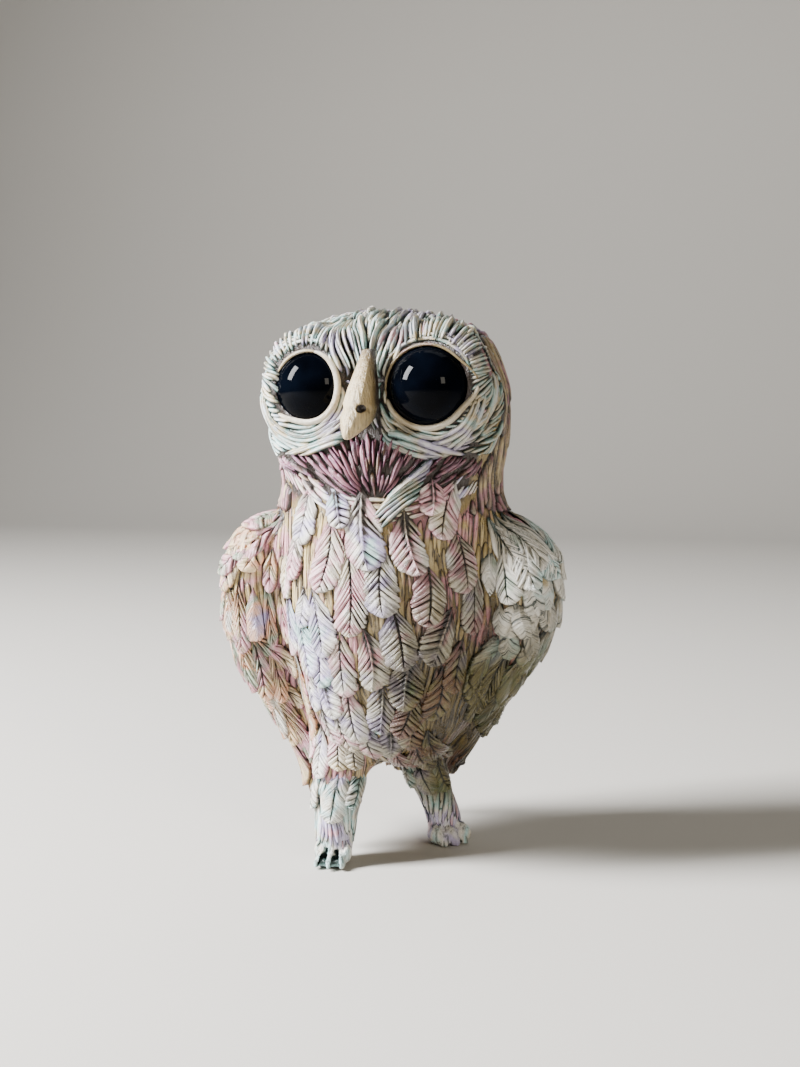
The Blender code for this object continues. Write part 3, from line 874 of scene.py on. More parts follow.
# Each long wing feather: angle and height at its root, halfway, and at its tip.
PRIMARIES = {
    "left": (
        ((122, 66), (134, 46), (150, 30)), ((112, 64), (126, 44), (150, 28)),
        ((102, 63), (118, 43), (146, 27)), ((92, 62), (108, 44), (134, 29)),
        ((83, 61), (98, 45), (120, 32)), ((75, 60), (88, 47), (108, 35)),
        ((68, 58), (78, 48), (94, 39)),
    ),
    "right": (
        ((-122, 64), (-126, 44), (-124, 25)), ((-112, 63), (-118, 42), (-116, 20)),
        ((-102, 62), (-108, 40), (-108, 15)), ((-93, 61), (-98, 40), (-100, 11.5)),
        ((-84, 59), (-88, 42), (-94, 17)), ((-76, 58), (-79, 45), (-86, 24)),
        ((-69, 56), (-71, 45), (-77, 30)),
    ),
}
# Rows of feathers on a wing: height of their roots, length, width, barbs and the share that is smooth.
WING_ROWS = {
    "left": ((54, 11, 4.8, 5, 0.3), (62, 11, 5.0, 2, 0.8), (69, 10, 5.4, 1, 1.0), (76, 10, 5.8, 1, 1.0),
             (88, 15, 6.6, 6, 0.1)),
    "right": ((50, 13, 4.6, 6, 0.1), (60, 14, 4.8, 6, 0.2), (70, 14, 5.0, 5, 0.3), (79, 12, 5.4, 3, 0.3),
              (88, 11, 5.8, 4, 0.1)),
}
ROW_ANGLES = (71, 77, 83, 90, 98, 106, 115, 124, 134)
# Feathers on the front of each wing, the lowest layer first: sideways place and height of the root,
# of the tip, the width, the number of barbs and the share of the length that is smooth.
WING_FRONT = {
    "right": (
        (-28, 43, -24.5, 28, 3.4, 6, 0.1), (-31, 45, -26.4, 30, 3.4, 6, 0.1),
        (-34.5, 46, -29.4, 33, 3.2, 6, 0.1), (-29.6, 58, -27.2, 40, 3.6, 7, 0.1),
        (-32.8, 58, -30, 41, 3.6, 7, 0.1), (-36, 59, -33, 43, 3.6, 8, 0.1),
        (-39, 60, -35.6, 45, 3.4, 8, 0.1), (-29.5, 72, -28.5, 54, 3.6, 7, 0.2),
        (-32.2, 70, -31.7, 56, 3.6, 2, 0.9), (-35.4, 71, -34.6, 53, 3.6, 7, 0.2),
        (-38.4, 72, -37.8, 56, 3.6, 8, 0.1), (-41, 73, -40.4, 60, 3.2, 7, 0.1),
        (-27.6, 79, -28.4, 68, 4.2, 3, 0.6), (-30.5, 80, -34, 73, 4.6, 3, 0.5),
        (-34, 80, -39.5, 72, 4.6, 5, 0.2), (-29, 85, -37.5, 76.5, 5.6, 6, 0.1),
        (-27, 88, -34.5, 82, 6, 6, 0.1),
    ),
    "left": (
        (25, 50, 18.5, 37, 3.8, 7, 0.1), (29.5, 46, 21.5, 33, 3.8, 7, 0.1),
        (29, 60, 20.5, 47, 4.2, 2, 0.8), (32.5, 59, 22.5, 43, 4.2, 9, 0.1),
        (36, 60, 25.5, 42, 3.8, 2, 0.8), (38.4, 61, 28.5, 44, 4, 9, 0.1),
        (31.4, 63, 30.6, 55, 4, 1, 1), (35.6, 64, 34.6, 55.5, 4, 1, 1),
        (38.6, 74, 38.6, 61, 4.2, 2, 0.8), (29.4, 69, 29.8, 60.5, 4.6, 1, 1),
        (33.4, 68, 34.2, 60, 4.4, 1, 1), (35.6, 74, 37, 65, 4.4, 1, 1),
        (26, 80, 26.8, 69, 4.6, 1, 1), (36.6, 83.5, 40, 72.5, 5.2, 7, 0.1),
        (29.5, 82, 32, 67.5, 5.8, 7, 0.1), (33, 84.5, 36, 70.5, 5.4, 7, 0.1),
    ),
}


def front_line(x, z, tip_x, tip_z):
    """Three places between two points that are given as seen from the front."""
    return [SKIN.face(x + (tip_x - x) * s, z + (tip_z - z) * s) for s in (0, 0.5, 1)]


def rib_for(barbs):
    """A feather with only a cut or two has no midrib."""
    return 0.6 if barbs > 2 else 0.0


def wing_front(batch, label):
    for *line, width, barbs, smooth in WING_FRONT[label]:
        feather(batch, SKIN, front_line(*line), width * 1.08, barbs, RNG.uniform(2.0, 2.8),
                root=0.5, groove=0.9, smooth_tip=smooth, rib=rib_for(barbs))


def wing(batch, label, side):
    """Long feathers to a wing's tip, narrow ones over them, smooth scales, and grooved coverts at
    the shoulder."""
    for line in PRIMARIES[label]:
        feather(batch, SKIN, [SKIN.around(*point) for point in line], RNG.uniform(5.0, 6.0), 13,
                1.7, root=0.4, groove=0.5, rib=0.55, smooth_tip=0.06)
    for k, (root, length, width, barbs, smooth) in enumerate(WING_ROWS[label]):
        for angle in ROW_ANGLES:
            angle = side * (angle + 3 * (k % 2) + RNG.normal(0, 1.2))
            top = root + RNG.normal(0, 0.9)
            tip = top - length * RNG.uniform(0.85, 1.1)
            ends = SKIN.around(angle, top), SKIN.around(angle + RNG.normal(0, 2.0), tip)
            feather(batch, SKIN, ends, width, barbs, 1.8, root=0.5, groove=0.75,
                    smooth_tip=smooth, rib=rib_for(barbs))


def wing_back(batch, side):
    """Feathers on the back of a wing, out to its edge at their height."""
    outline = coords(FORM) - AXIS_XY
    for root in (50, 59, 68, 77, 86):
        level = np.abs(outline[:, 2] / MM - root + 4) < 2
        edge = (side * outline[level, 0]).max() / MM - 2.5
        for aside in (0.0, 4.4, 8.8):
            line = [(side * (edge - aside - drop * 0.18), 60.0, root - drop) for drop in (0, 6, 12)]
            points = [SKIN.toward(AXIS_XY + np.array(place) * MM, FROM_BEHIND, 55 * MM)
                      for place in line]
            feather(batch, SKIN, points, 5.6, 6, 1.6, root=0.4, groove=0.6, rib=0.5)


def tail(batch):
    """Long feathers down the tail, behind and in front."""
    for x in (-8.5, 8.5, -4.5, 4.8, 0.3):
        points = [SKIN.toward(AXIS_XY + np.array((k, 80.0, z)) * MM, FROM_BEHIND) for k, z in
                  ((x * 0.7, 46), (x, 32), (x * 1.05, 15))]
        feather(batch, SKIN, points, 6.0, 12, 1.6, root=0.4, groove=0.45, rib=0.5, smooth_tip=0.08)
    for x in (-5, 0, 5):
        points = [SKIN.toward(AXIS_XY + np.array((x, 14.0, z)) * MM, -FROM_BEHIND) for z in (28, 16)]
        feather(batch, SKIN, points, 5.5, 7, 0.8, groove=0.3)


def leg_point(skin, label, angle, height):
    """The outermost place on a leg at an angle from the front and a height."""
    centre = spine(label + "_leg", min(max(height, ANKLE), KNEE + 1))
    out = heading(angle)
    return skin.toward(centre + out * 14 * MM + UP * height * MM, -out)


def on_shin(point):
    return 4.6 * MM < point[2] < 30 * MM


# Feathers down the front of each leg: angle, root, tip, width, barbs and smoothness.
LEG_FEATHERS = {
    "right": ((-62, 24, 14, 5, 6, 0.1), (48, 24, 15, 5, 6, 0.1), (2, 25, 11.5, 6.6, 3, 0.75)),
    "left": ((62, 24, 15, 5, 6, 0.1), (-42, 24, 16, 5, 6, 0.1), (12, 26, 14.5, 5.8, 3, 0.75)),
}


def leg_feathers(batch, skin, label):
    for angle, root, tip, width, barbs, smooth in LEG_FEATHERS[label]:
        points = [leg_point(skin, label, angle, z) for z in (root, (root + tip) / 2, tip)]
        feather(batch, skin, points, width, barbs, 1.6, root=0.3, groove=0.6, smooth_tip=smooth)


# Feathers where each leg leaves the body: sideways place and height of the root, of the tip, width
# and barbs.
THIGHS = (
    (3.5, 33, 3.8, 23, 5.2, 7), (11.8, 37, 11.2, 25, 5.6, 8), (8.6, 35, 7.6, 22, 5.8, 8),
    (-6, 34, -7.4, 25, 5, 7), (-19.5, 39, -17.6, 26, 5.6, 8), (-10.5, 36, -10.6, 24.5, 5.8, 8),
    (-15.5, 36, -15, 22, 6, 9),
)


def thighs(batch):
    for *line, width, barbs in THIGHS:
        feather(batch, SKIN, front_line(*line), width, barbs, 1.9, root=0.4, groove=0.6,
                smooth_tip=0.1, rib=0.5)


# ---------------------------------------------------------------- the head


def head_feathers(batch):
    """Feathers down the back of the head, over the neck."""
    for i, root in enumerate((100, 108, 116, 123)):
        row(batch, low=112, high=248, count=12 - i, height=root, length=14, width=7.4, barbs=6,
            shifted=i % 2, jitter=1.2, root=0.4)


# Ridges under an eye: distance from its lid, angles from the outer corner, and width. Rolls on the
# face's lower edge: drop below it, how far aside they start and end, and width.
CHEEK_RIDGES = (
    (1.9, -165, -12, 1.5), (3.1, -150, -8, 1.7), (4.4, -140, -20, 1.6), (5.6, -132, -4, 1.9),
)
CHEEK_EDGES = ((0.2, 4, 21, 2.4), (1.5, 6, 17, 1.6))


def cheeks(batch):
    """Ridges that sweep under each eye and rise towards the outside, and the face's thick edge."""
    for label, side in (("right", -1), ("left", 1)):
        for gap, low, high, width in CHEEK_RIDGES:
            share = np.linspace(0, 1, 9)
            turns = np.radians(low + (high - low) * share)
            line = [rim_point(label, lid_reach(label, turn) + gap * (1 + 0.35 * s), turn)
                    for turn, s in zip(turns, share)]
            stroke(batch, SKIN, line, width, height=1.0, lift=0.3, steps=26, blunt=0.1, raised=0.2)
        for drop, low, high, width in CHEEK_EDGES:
            places = 1 + side * np.linspace(low, high, 5)
            points = [SKIN.face(x, cheek(x) + 0.2 - drop) for x in places]
            stroke(batch, SKIN, points, width, height=1.3, lift=0.3, steps=14, blunt=0.1, raised=0.4)


def tuft(batch):
    """A curved lock of thick strands below the beard, swept towards the owl's right."""
    for i in range(6):
        spread = i - 2.5
        points = (
            SKIN.around(33 + spread, 97.5 + spread * 1.7),
            SKIN.around(19 + spread * 0.6, 93.0 + spread * 1.5),
            SKIN.around(4 + abs(spread) * 1.8, 87.5 + spread * 0.9),
        )
        stroke(batch, SKIN, points, width=1.6, height=1.8, lift=0.5, steps=16, blunt=0.1, raised=0.9)


# Each eye's upper and lower lid: the angles it spans, its thickness and its wash. A lid comes up to
# its full thickness over the opening, a share of its length.
RIGHT_CORNER, LEFT_CORNER = LID_CORNER["right"][0], LID_CORNER["left"][0]
LID_ARCS = {
    "right": ((26, 104, 0.55, 0.3), (-262, RIGHT_CORNER - 2, 1.15, 0.1)),
    "left": ((LEFT_CORNER + 1, LEFT_CORNER + 190, 0.5, 0.45),
             (LEFT_CORNER - 168, LEFT_CORNER - 2, 1.15, 0.1)),
}
LID_OPENING = {"right": 0.35, "left": 0.1}


def lids(batch, label):
    """Smooth rolls of clay over and under an eye, drawn out to a point where they meet."""
    corner_angle, drawn = LID_CORNER[label]
    for low, high, thick, wash_and_shade in LID_ARCS[label]:
        line, radii = [], []
        for t in np.linspace(0, 1, 40):
            turn = math.radians(low + (high - low) * t)
            corner = max(0.0, math.cos(turn - math.radians(corner_angle))) ** 12
            reach = lid_reach(label, turn) + drawn * corner
            forward = lid_forward(label, turn) - 0.55 * drawn * corner
            line.append(rim_point(label, reach, turn, forward))
            full = 0.35 + 0.65 * math.sin(math.pi * min(max(t, 0.02), 0.98)) ** 0.4
            radii.append(LID_ROLL * thick * min(full, 0.35 + t / LID_OPENING[label]))
        roll(batch, line, radii, wash_and_shade, 1.0 if wash_and_shade > 0.2 else 0.0)


def creases(batch, label):
    """Fine folds outside the upper lid."""
    for reach, low, high in ((1.5, 20, 150), (2.7, 12, 120), (3.8, 8, 80)):
        turns = np.radians(np.linspace(low, high, 9))
        points = [rim_point(label, lid_reach(label, t) + reach, t) for t in turns]
        stroke(batch, SKIN, points, width=1.3, height=0.55, lift=0.1, steps=20)


GLASS_EDGE = math.radians(112)  # how far round from its front the glass goes


def eyeball(name, label):
    """A domed glass eye with a flat back inside the head's clay."""
    centre, outward, up, facing = AXES[label]
    rings, segments = 40, 72
    points = []
    for i in range(rings + 1):
        turn = GLASS_EDGE * (1 - i / rings)
        for j in range(segments):
            spin = 2 * math.pi * j / segments
            across = outward * math.cos(spin) + up * math.sin(spin)
            out = across * math.sin(turn) + facing * math.cos(turn)
            points.append(centre + out * GLASS_RADIUS * MM)
    batch = Batch()
    blank = np.zeros((len(points), 3))
    batch.add(np.array(points), tube_faces(rings + 1, segments), blank, blank)
    return batch.mesh(name)


# ---------------------------------------------------------------- materials


class Graph:
    """A material's nodes, linked as they are made. A value is a number, a colour or a node's output."""

    def __init__(self, name):
        self.material = bpy.data.materials.new(name)
        self.material.use_nodes = True
        self.nodes, self.links = self.material.node_tree.nodes, self.material.node_tree.links

    def feed(self, socket, value):
        if isinstance(value, bpy.types.NodeSocket):
            self.links.new(value, socket)
        else:
            socket.default_value = (*value, 1.0) if isinstance(value, tuple) else value

    def surface(self, **values):
        """Sets inputs of the shader. Their names have spaces where these have underlines."""
        for name, value in values.items():
            self.feed(self.nodes["Principled BSDF"].inputs[name.replace("_", " ")], value)

    def place(self):
        return self.nodes.new("ShaderNodeTexCoord").outputs["Object"]

    def attribute(self, name):
        made = self.nodes.new("ShaderNodeAttribute")
        made.attribute_name = name
        return made.outputs["Vector"]

    def split(self, vector):
        made = self.nodes.new("ShaderNodeSeparateXYZ")
        self.feed(made.inputs[0], vector)
        return made.outputs

    def noise(self, vector, scale, detail, roughness=0.55):
        made = self.nodes.new("ShaderNodeTexNoise")
        for name, value in (("Scale", scale), ("Detail", detail), ("Roughness", roughness)):
            made.inputs[name].default_value = value
        self.feed(made.inputs["Vector"], vector)
        return made.outputs["Fac"]

    def sum(self, operation, *values, clamped=False):
        """A calculation by its Blender name."""
        made = self.nodes.new("ShaderNodeMath")
        made.operation = operation
        made.use_clamp = clamped
        for socket, value in zip(made.inputs, values):
            self.feed(socket, value)
        return made.outputs[0]

    def mix(self, factor, first, second, blend="MIX"):
        made = self.nodes.new("ShaderNodeMix")
        made.data_type = "RGBA"
        made.blend_type = blend
        for k, value in ((0, factor), (6, first), (7, second)):
            self.feed(made.inputs[k], value)
        return made.outputs[2]

    def ramp(self, value, stops):
        made = self.nodes.new("ShaderNodeValToRGB")
        made.color_ramp.interpolation = "EASE"
        while len(made.color_ramp.elements) < len(stops):
            made.color_ramp.elements.new(0.5)
        for element, (place, colour) in zip(made.color_ramp.elements, stops):
            element.position = place
            element.color = (*colour, 1.0)
        self.feed(made.inputs["Fac"], value)
        return made.outputs["Color"]

    def bump(self, height, **sizes):
        made = self.nodes.new("ShaderNodeBump")
        for name, value in sizes.items():
            made.inputs[name].default_value = value
        self.feed(made.inputs["Height"], height)
        self.surface(Normal=made.outputs["Normal"])


IVORY = (0.72, 0.63, 0.47)
WHITE = (0.80, 0.76, 0.66)
CREAM = (0.72, 0.55, 0.27)
PINK = (0.72, 0.29, 0.37)
PEACH = (0.82, 0.40, 0.20)
ROSE = (0.50, 0.20, 0.28)
LAVENDER = (0.43, 0.35, 0.66)
TURQUOISE = (0.38, 0.68, 0.68)
SKY = (0.52, 0.66, 0.80)
OCHRE = (0.58, 0.42, 0.14)
UMBER = (0.34, 0.22, 0.14)
PLUM = (0.26, 0.08, 0.18)
GREEN = (0.32, 0.42, 0.28)
HORN = (0.66, 0.47, 0.20)
# colour of the dry-brushed crests, partly a painted highlight
CREST = (0.93, 0.93, 0.91)
# umber tint of the painted shade on the owl's left side and lower down
PAINTED_SHADE_TINT = (0.13, 0.11, 0.035)
SHADE = (0.030, 0.020, 0.016)
GREEN_SHADE = (0.018, 0.036, 0.032)
HEAD_SHADE_LEVEL = (0.0, 0.45)  # painted shade on the head's left side, the same at every height
FORM_TONE, FORM_HUE = 0.4, 0.3
COMBING = (1.5, 0.14, 1.5)  # how fine the combed lines are across and along a stroke


def painted_clay(name, palette, shade=SHADE, brush_and_highlight=0.35, lines=0.7, relief=1.1, shade_by_height=(-22.0, 2.1)):
    """Pastel washes, fine combed lines, a dark wash in every cut that also paints the shade there, and
    lighter dry-brushed crests that are partly a painted highlight.

    The crest and line strengths say how strong the crests and the combed lines are, and relief how deep
    the bump is in millimetres. A painted umber shade lies over the owl's left side, away from the key
    light, and fades out near the floor. Its strength follows from the height in metres: slope and start.
    """
    graph = Graph(name)
    place = graph.place()
    wash_and_shade, tone, hue = graph.split(graph.attribute("paint"))
    stretch = graph.nodes.new("ShaderNodeVectorMath")
    stretch.operation = "MULTIPLY"
    stretch.inputs[1].default_value = COMBING
    graph.feed(stretch.inputs[0], graph.attribute("grain"))

    patch = graph.sum("MULTIPLY_ADD", graph.noise(place, 75.0, 3.0), 2.2, -0.77)
    pick = graph.sum("ADD", patch, graph.sum("MULTIPLY", hue, 0.34), clamped=True)
    stops = [(i / (len(palette) - 1), colour) for i, colour in enumerate(palette)]
    colour = graph.ramp(pick, stops)

    grain = graph.noise(place, 1500.0, 6.0, 0.65)
    streak = graph.noise(place, 420.0, 5.0, 0.7)
    combed = graph.noise(stretch.outputs[0], 1.0, 4.0, 0.6)
    speckle = graph.sum("MULTIPLY_ADD", grain, 0.8, -0.4)
    value = graph.sum("ADD", graph.sum("MULTIPLY_ADD", tone, 0.3, 0.84), speckle)
    brightness = graph.nodes.new("ShaderNodeCombineXYZ")
    for socket in brightness.inputs:
        graph.feed(socket, value)
    colour = graph.mix(1.0, colour, brightness.outputs[0], "MULTIPLY")

    # Lighter dry-brushed crests where the wash is thin, streaked by noise: partly paint, partly a
    # painted highlight.
    crest = graph.sum("MULTIPLY", graph.sum("SUBTRACT", 0.42, wash_and_shade, clamped=True), streak)
    crest = graph.sum("MULTIPLY", crest, 3.6 * brush_and_highlight, clamped=True)
    colour = graph.mix(crest, colour, CREST)
    line = graph.sum("MULTIPLY_ADD", combed, -10.0, 4.8, clamped=True)
    # The dark wash, streaked by noise, partly the real wash and partly painted shade in cuts and gaps,
    # and the combed lines.
    wash_shade_and_lines = graph.sum("MULTIPLY_ADD", streak, 1.6, 1.0)
    wash_shade_and_lines = graph.sum("MULTIPLY_ADD", wash_shade_and_lines, wash_and_shade, -0.16)
    wash_shade_and_lines = graph.sum("MAXIMUM", wash_shade_and_lines, graph.sum("MULTIPLY", line, lines), clamped=True)
    colour = graph.mix(wash_shade_and_lines, colour, shade)
    # Painted shade: an umber tint darkens the owl's left side, away from the key light, and its lower
    # parts, fading out near the floor.
    x, _, z = graph.split(place)
    aside = graph.sum("MULTIPLY_ADD", x, 38.0, 0.6, clamped=True)
    low = graph.sum("MULTIPLY_ADD", z, *shade_by_height, clamped=True)
    foot = graph.sum("MULTIPLY_ADD", z, 110.0, -0.6, clamped=True)
    painted_shade = graph.sum("MULTIPLY", graph.sum("MULTIPLY", aside, low), foot)
    colour = graph.mix(painted_shade, colour, PAINTED_SHADE_TINT, "MULTIPLY")

    rough = graph.sum("MULTIPLY_ADD", streak, 0.36, 0.12)
    graph.surface(Base_Color=colour, Roughness=rough, Specular_IOR_Level=0.65)
    height = graph.sum("MULTIPLY_ADD", grain, 0.2, combed)
    height = graph.sum("MULTIPLY_ADD", streak, 0.25, height)
    graph.bump(height, Strength=0.9, Distance=relief * MM)
    return graph.material


def black_glass():
    graph = Graph("black_glass")
    place = graph.place()
    depth = graph.noise(place, 120.0, 2.0)
    colour = graph.ramp(depth, ((0.3, (0.0004, 0.0006, 0.0012)), (0.75, (0.0010, 0.0018, 0.0040))))
    smear = graph.noise(place, 300.0, 3.0)
    rough = graph.sum("MULTIPLY_ADD", smear, 0.05, 0.0)
    graph.surface(Base_Color=colour, Roughness=rough, Specular_IOR_Level=0.035)
    return graph.material


def metal(name, dark, bright, scale, depth, rough):
    """Bare metal with dents or drawn scratches, for the armature inside."""
    graph = Graph(name)
    dents = graph.noise(graph.place(), scale, 6.0, 0.6)
    colour = graph.ramp(dents, ((0.35, dark), (0.65, bright)))
    rough = graph.sum("MULTIPLY_ADD", dents, 0.3, rough)
    graph.surface(Base_Color=colour, Roughness=rough, Metallic=1.0)
    graph.bump(dents, Distance=depth)
    return graph.material


LOOKS = {
    "breast": dict(palette=(TURQUOISE, LAVENDER, WHITE, PINK, IVORY, CREAM), brush_and_highlight=0.45),
    "left_wing": dict(palette=(GREEN, WHITE, IVORY, WHITE, TURQUOISE, WHITE, OCHRE), shade=GREEN_SHADE,
                      brush_and_highlight=0.7, lines=0.95, shade_by_height=(-40.0, 3.05)),
    "right_wing": dict(palette=(LAVENDER, PEACH, GREEN, PINK, CREAM, PEACH, WHITE), brush_and_highlight=0.25,
                       lines=0.85),
    "face": dict(palette=(TURQUOISE, WHITE, LAVENDER, IVORY, TURQUOISE, CREAM, SKY, PINK),
                 shade=GREEN_SHADE, brush_and_highlight=0.65, shade_by_height=HEAD_SHADE_LEVEL),
    "crown": dict(palette=(TURQUOISE, IVORY, SKY, PINK, LAVENDER, IVORY), shade_by_height=HEAD_SHADE_LEVEL),
    "beard": dict(palette=(UMBER, ROSE, PLUM, ROSE, PLUM, UMBER, CREAM), brush_and_highlight=0.12, shade_by_height=(0.0, 0.6)),
    "ground": dict(palette=(OCHRE, CREAM, OCHRE, PINK, CREAM), brush_and_highlight=0.15, lines=0.9),
    "strand": dict(palette=(PINK, UMBER, CREAM, ROSE, UMBER, IVORY), brush_and_highlight=0.2, lines=0.9,
                   shade_by_height=(0.0, 0.5)),
    "back": dict(palette=(LAVENDER, IVORY, UMBER, PINK, OCHRE), brush_and_highlight=0.3),
    "leg": dict(palette=(LAVENDER, IVORY, TURQUOISE, WHITE, LAVENDER, PINK, CREAM), shade=GREEN_SHADE,
                brush_and_highlight=0.5, shade_by_height=(-30.0, 2.6)),
    "beak": dict(palette=(HORN, CREAM, HORN, IVORY), brush_and_highlight=0.2, lines=0.5, relief=0.7, shade_by_height=HEAD_SHADE_LEVEL),
    "lid": dict(palette=(CREAM, IVORY, CREAM, PINK), brush_and_highlight=0.3, lines=0.3, relief=0.4, shade_by_height=HEAD_SHADE_LEVEL),
}
CLAY = {name: painted_clay(name + "_clay", **look) for name, look in LOOKS.items()}
GLASS = black_glass()
FOIL = metal("crumpled_foil", (0.42, 0.43, 0.45), (0.82, 0.83, 0.85), 260.0, 1.2 * MM, 0.12)
WIRE = metal("steel_wire", (0.22, 0.22, 0.23), (0.55, 0.55, 0.57), 1800.0, 0.1 * MM, 0.25)


# ---------------------------------------------------------------- putting it together


def show(mesh, material, slot, *nodes):
    """A piece of the owl that stands for CAD nodes."""
    mesh.materials.clear()
    mesh.materials.append(material)
    made = as_object(mesh.name, mesh)
    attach(made, "root")
    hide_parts(*nodes)


def lay(name, material, slot, nodes, *builders):
    """One piece from everything that some builders lay in one batch."""
    batch = Batch()
    for builder, *arguments in builders:
        builder(batch, *arguments)
    show(batch.mesh(name), CLAY[material], slot, *nodes)


def named(start):
    return [name for name in NODES if name.startswith(start)]


def whole(mesh, wash_and_shade):
    """Paint and grain for a form. Its combed lines run down it."""
    points = coords(mesh)
    paint = np.tile((0.0, FORM_TONE, FORM_HUE), (len(points), 1))
    paint[:, 0] = wash_and_shade
    mark(mesh, "paint", paint)
    mark(mesh, "grain", points[:, [0, 2, 1]] / MM)


def beak():
    """A smooth hooked beak with a nostril pressed into each side, darker towards the face."""
    mesh = fuse("beak_form", ["beak"], voxel=0.22 * MM, rounds=5, close=0.8 * MM)
    points = coords(mesh)
    x, y, z = points.T
    low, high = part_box("beak")
    height = low.z + 6.9 * MM
    level = points[np.abs(z - height) < 0.5 * MM]
    ridge = level[level[:, 1].argmin(), 0]
    aside = np.where(x > ridge, x - ridge - 2.0 * MM, ridge - x - 3.3 * MM)
    apart = np.hypot(aside, z - height) / MM
    hole = clamp((0.95 - apart) / 0.35) * (y < high.y - 4 * MM)
    root = clamp((y - (high.y - 6.0 * MM)) / (6.0 * MM))
    # Painted shade on the flank at the owl's left, which faces away from the key light.
    flank_shade = clamp((x - ridge) / MM / 4) * 0.3
    reshape(mesh, points - read(mesh.vertex_normals, "vector") * hole[:, None] * 0.9 * MM)
    # Darker towards the face, and painted shade in the nostrils.
    whole(mesh, clamp(root * 0.6 + flank_shade + hole * 3))
    return mesh


TAKEN = Taken()
SPOTS = coords(FORM) - AXIS_XY
FRONT = clamp(1 - (np.degrees(np.arctan2(np.abs(SPOTS[:, 0]), -SPOTS[:, 1])) - 54) / 8)
whole(FORM, 0.38 + 0.5 * clamp((SPOTS[:, 2] / MM - 90) / 5) * FRONT)  # dark only between head strokes, partly painted shade
show(FORM, CLAY["ground"], "body_clay", "torso_clay", "head_clay", "right_wing", "left_wing",
     "tail", "chin_tuft")
FACE = ["right_face_disc", "left_face_disc"]
# Each comb's numbers are its spacing, longest stroke, width, height, lift at the far end and bluntness.
lay("cheek_ridges", "face", "face_clay", FACE, (cheeks,), (creases, "left"), (creases, "right"))
lay("face_strokes", "face", "face_clay", FACE,
    (comb, SKIN, TAKEN, in_face, face_field, 0.78, 19, 1.25, 0.95, 0.25, 0.2),
    (comb, SKIN, Taken(), in_brow, face_field, 1.9, 16, 1.6, 1.5, 0.2, 0.1))
lay("beard_strokes", "beard", "face_clay", ["chin_tuft"],
    (comb, SKIN, TAKEN, in_beard, beard_field, 1.0, 12, 1.3, 1.1, 0.5, 0.15),
    (comb, SKIN, Taken(), in_chin, beard_field, 1.5, 9, 1.2, 1.5, 0.6, 0.1))
lay("throat_strokes", "breast", "body_clay", ["chin_tuft"],
    (comb, SKIN, TAKEN, in_throat, throat_field, 0.9, 18, 1.5, 0.6, 0.2, 0.2))
lay("chin_lock", "face", "body_clay", ["chin_tuft"], (tuft,))
lay("side_strands", "strand", "face_clay", ["head_clay"],
    (comb, SKIN, TAKEN, in_strands, down_field, 1.35, 26, 2.4, 1.1, 0.7, 0.6))
lay("crown_strokes", "crown", "face_clay", ["head_clay"],
    (comb, SKIN, TAKEN, in_crown, crown_field, 1.1, 18, 1.9, 0.8, 0.3, 0.2))
lay("body_strokes", "ground", "body_clay", ["torso_clay"],
    (comb, SKIN, TAKEN, in_body, down_field, 1.15, 24, 1.9, 0.45, 0.1, 0.05))
lay("breast_feathers", "breast", "body_clay", named("breast_feather"), (thighs,), (breast,))
lay("back_feathers", "back", "body_clay", ["torso_clay"], (back,))
for SIDE, LABEL in ((-1, "right"), (1, "left")):
    WING = named(LABEL + "_primary") + named(LABEL + "_covert") + [LABEL + "_wing"]
    lay(LABEL + "_wing_feathers", LABEL + "_wing", "wing_clay", WING, (wing, LABEL, SIDE),
        (wing_front, LABEL), (wing_back, SIDE))
    LIDS = [LABEL + "_upper_lid", LABEL + "_lower_lid"]
    lay(LABEL + "_lids", "lid", "lid_clay", LIDS, (lids, LABEL))
    show(eyeball(LABEL + "_glass_eye", LABEL), GLASS, "eye_glass", LABEL + "_eye")
    LEG_MESH, LEG_WASH_AND_SHADE = leg_form(LABEL)
    LEG_SKIN = Skin(LEG_MESH, 0.25 * MM)
    LEG = [LABEL + "_leg", LABEL + "_foot"]
    whole(LEG_MESH, LEG_WASH_AND_SHADE)
    show(LEG_MESH, CLAY["leg"], "body_clay", *LEG)
    lay(LABEL + "_leg_strokes", "leg", "body_clay", LEG,
        (comb, LEG_SKIN, Taken(), on_shin, down_field, 1.05, 26, 1.7, 0.5, 0.1, 0.1),
        (leg_feathers, LEG_SKIN, LABEL))
lay("tail_feathers", "back", "wing_clay", named("tail"), (tail,))
lay("head_feathers", "back", "face_clay", ["head_clay"], (head_feathers,))
lay("parting_strokes", "crown", "face_clay", ["head_clay"],
    (comb, SKIN, Taken(), in_parting, crown_field, 1.3, 14, 1.7, 1.3, 0.3, 0.2))
show(beak(), CLAY["beak"], "beak_clay", "beak")
for NAME, NODE in NODES.items():
    if NAME.endswith(("_core", "_wire")):
        NODE.data.materials.clear()
        NODE.data.materials.append(FOIL if NAME.endswith("_core") else WIRE)

# ---------------------------------------------------------------- the studio


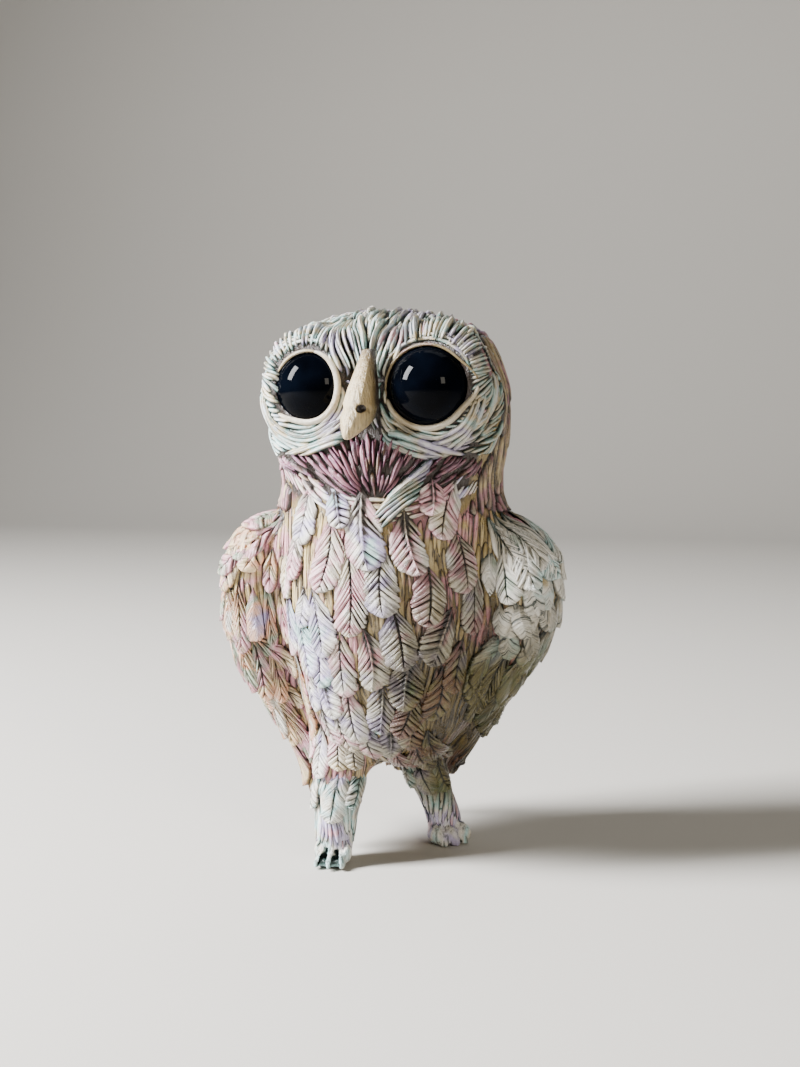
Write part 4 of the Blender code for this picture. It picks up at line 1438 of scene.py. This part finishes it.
def stage():
    """A pale floor that curves up into a pale wall."""
    profile = [(-1.5, 0.0), (0.9, 0.0)]
    for i in range(1, 13):
        turn = math.pi / 2 * i / 12
        profile.append((0.9 + 0.5 * math.sin(turn), 0.5 - 0.5 * math.cos(turn)))
    profile.append((1.4, 2.2))
    shape = bmesh.new()
    rows = [[shape.verts.new((x, y, z)) for y, z in profile] for x in (-2.0, 2.0)]
    for i in range(len(profile) - 1):
        shape.faces.new((rows[0][i], rows[1][i], rows[1][i + 1], rows[0][i + 1]))
    mesh = bpy.data.meshes.new("floor")
    shape.to_mesh(mesh)
    shape.free()
    mesh.shade_smooth()
    paper = Graph("pale_paper")
    paper.surface(Base_Color=(0.50, 0.48, 0.44), Roughness=0.8)
    mesh.materials.append(paper.material)
    as_object("floor", mesh)


OWL_MIDDLE = Vector((0, 0, 0.075))


def light(name, place, size, energy, colour=(1, 1, 1)):
    """A soft light, as wide and as high as its size says, that looks at the owl."""
    made = as_object(name, bpy.data.lights.new(name, "AREA"))
    made.data.shape = "RECTANGLE"
    made.data.size, made.data.size_y = size
    made.data.energy = energy
    made.data.color = colour
    made.location = place
    aim = OWL_MIDDLE - made.location
    made.rotation_euler = aim.to_track_quat("-Z", "Y").to_euler()


def camera():
    """A portrait lens from a little to the owl's left, level with its face."""
    azimuth, tilt = math.radians(13.7), math.radians(5.08)
    distance, aside, height = 328.7 * MM, 2.0 * MM, 111.2 * MM
    made = as_object("camera", bpy.data.cameras.new("camera"))
    made.data.lens = 45.2
    made.data.sensor_width = 36.0
    made.data.clip_start = 0.01
    right = Vector((math.cos(azimuth), math.sin(azimuth), 0))
    back = Vector((math.sin(azimuth), -math.cos(azimuth), 0))
    made.location = AXIS + back * distance + right * aside + Vector((0, 0, height))
    made.rotation_euler = (math.pi / 2 - tilt, 0, azimuth)
    bpy.context.scene.camera = made


stage()
light("key", (-0.6, -0.31, 0.53), (0.2, 0.42), 46.0, (0.98, 0.98, 1.0))
light("fill", (0.6, -0.6, 0.38), (0.16, 0.24), 3.2, (1.0, 0.92, 0.78))
light("top", (0.1, 0.35, 0.8), (0.5, 0.5), 1.2)
WORLD = bpy.data.worlds.new("studio")  # a faint warm light from everywhere
WORLD.use_nodes = True
BACKGROUND = WORLD.node_tree.nodes["Background"]
BACKGROUND.inputs["Color"].default_value = (0.92, 0.84, 0.70, 1)
BACKGROUND.inputs["Strength"].default_value = 0.07
bpy.context.scene.world = WORLD
camera()
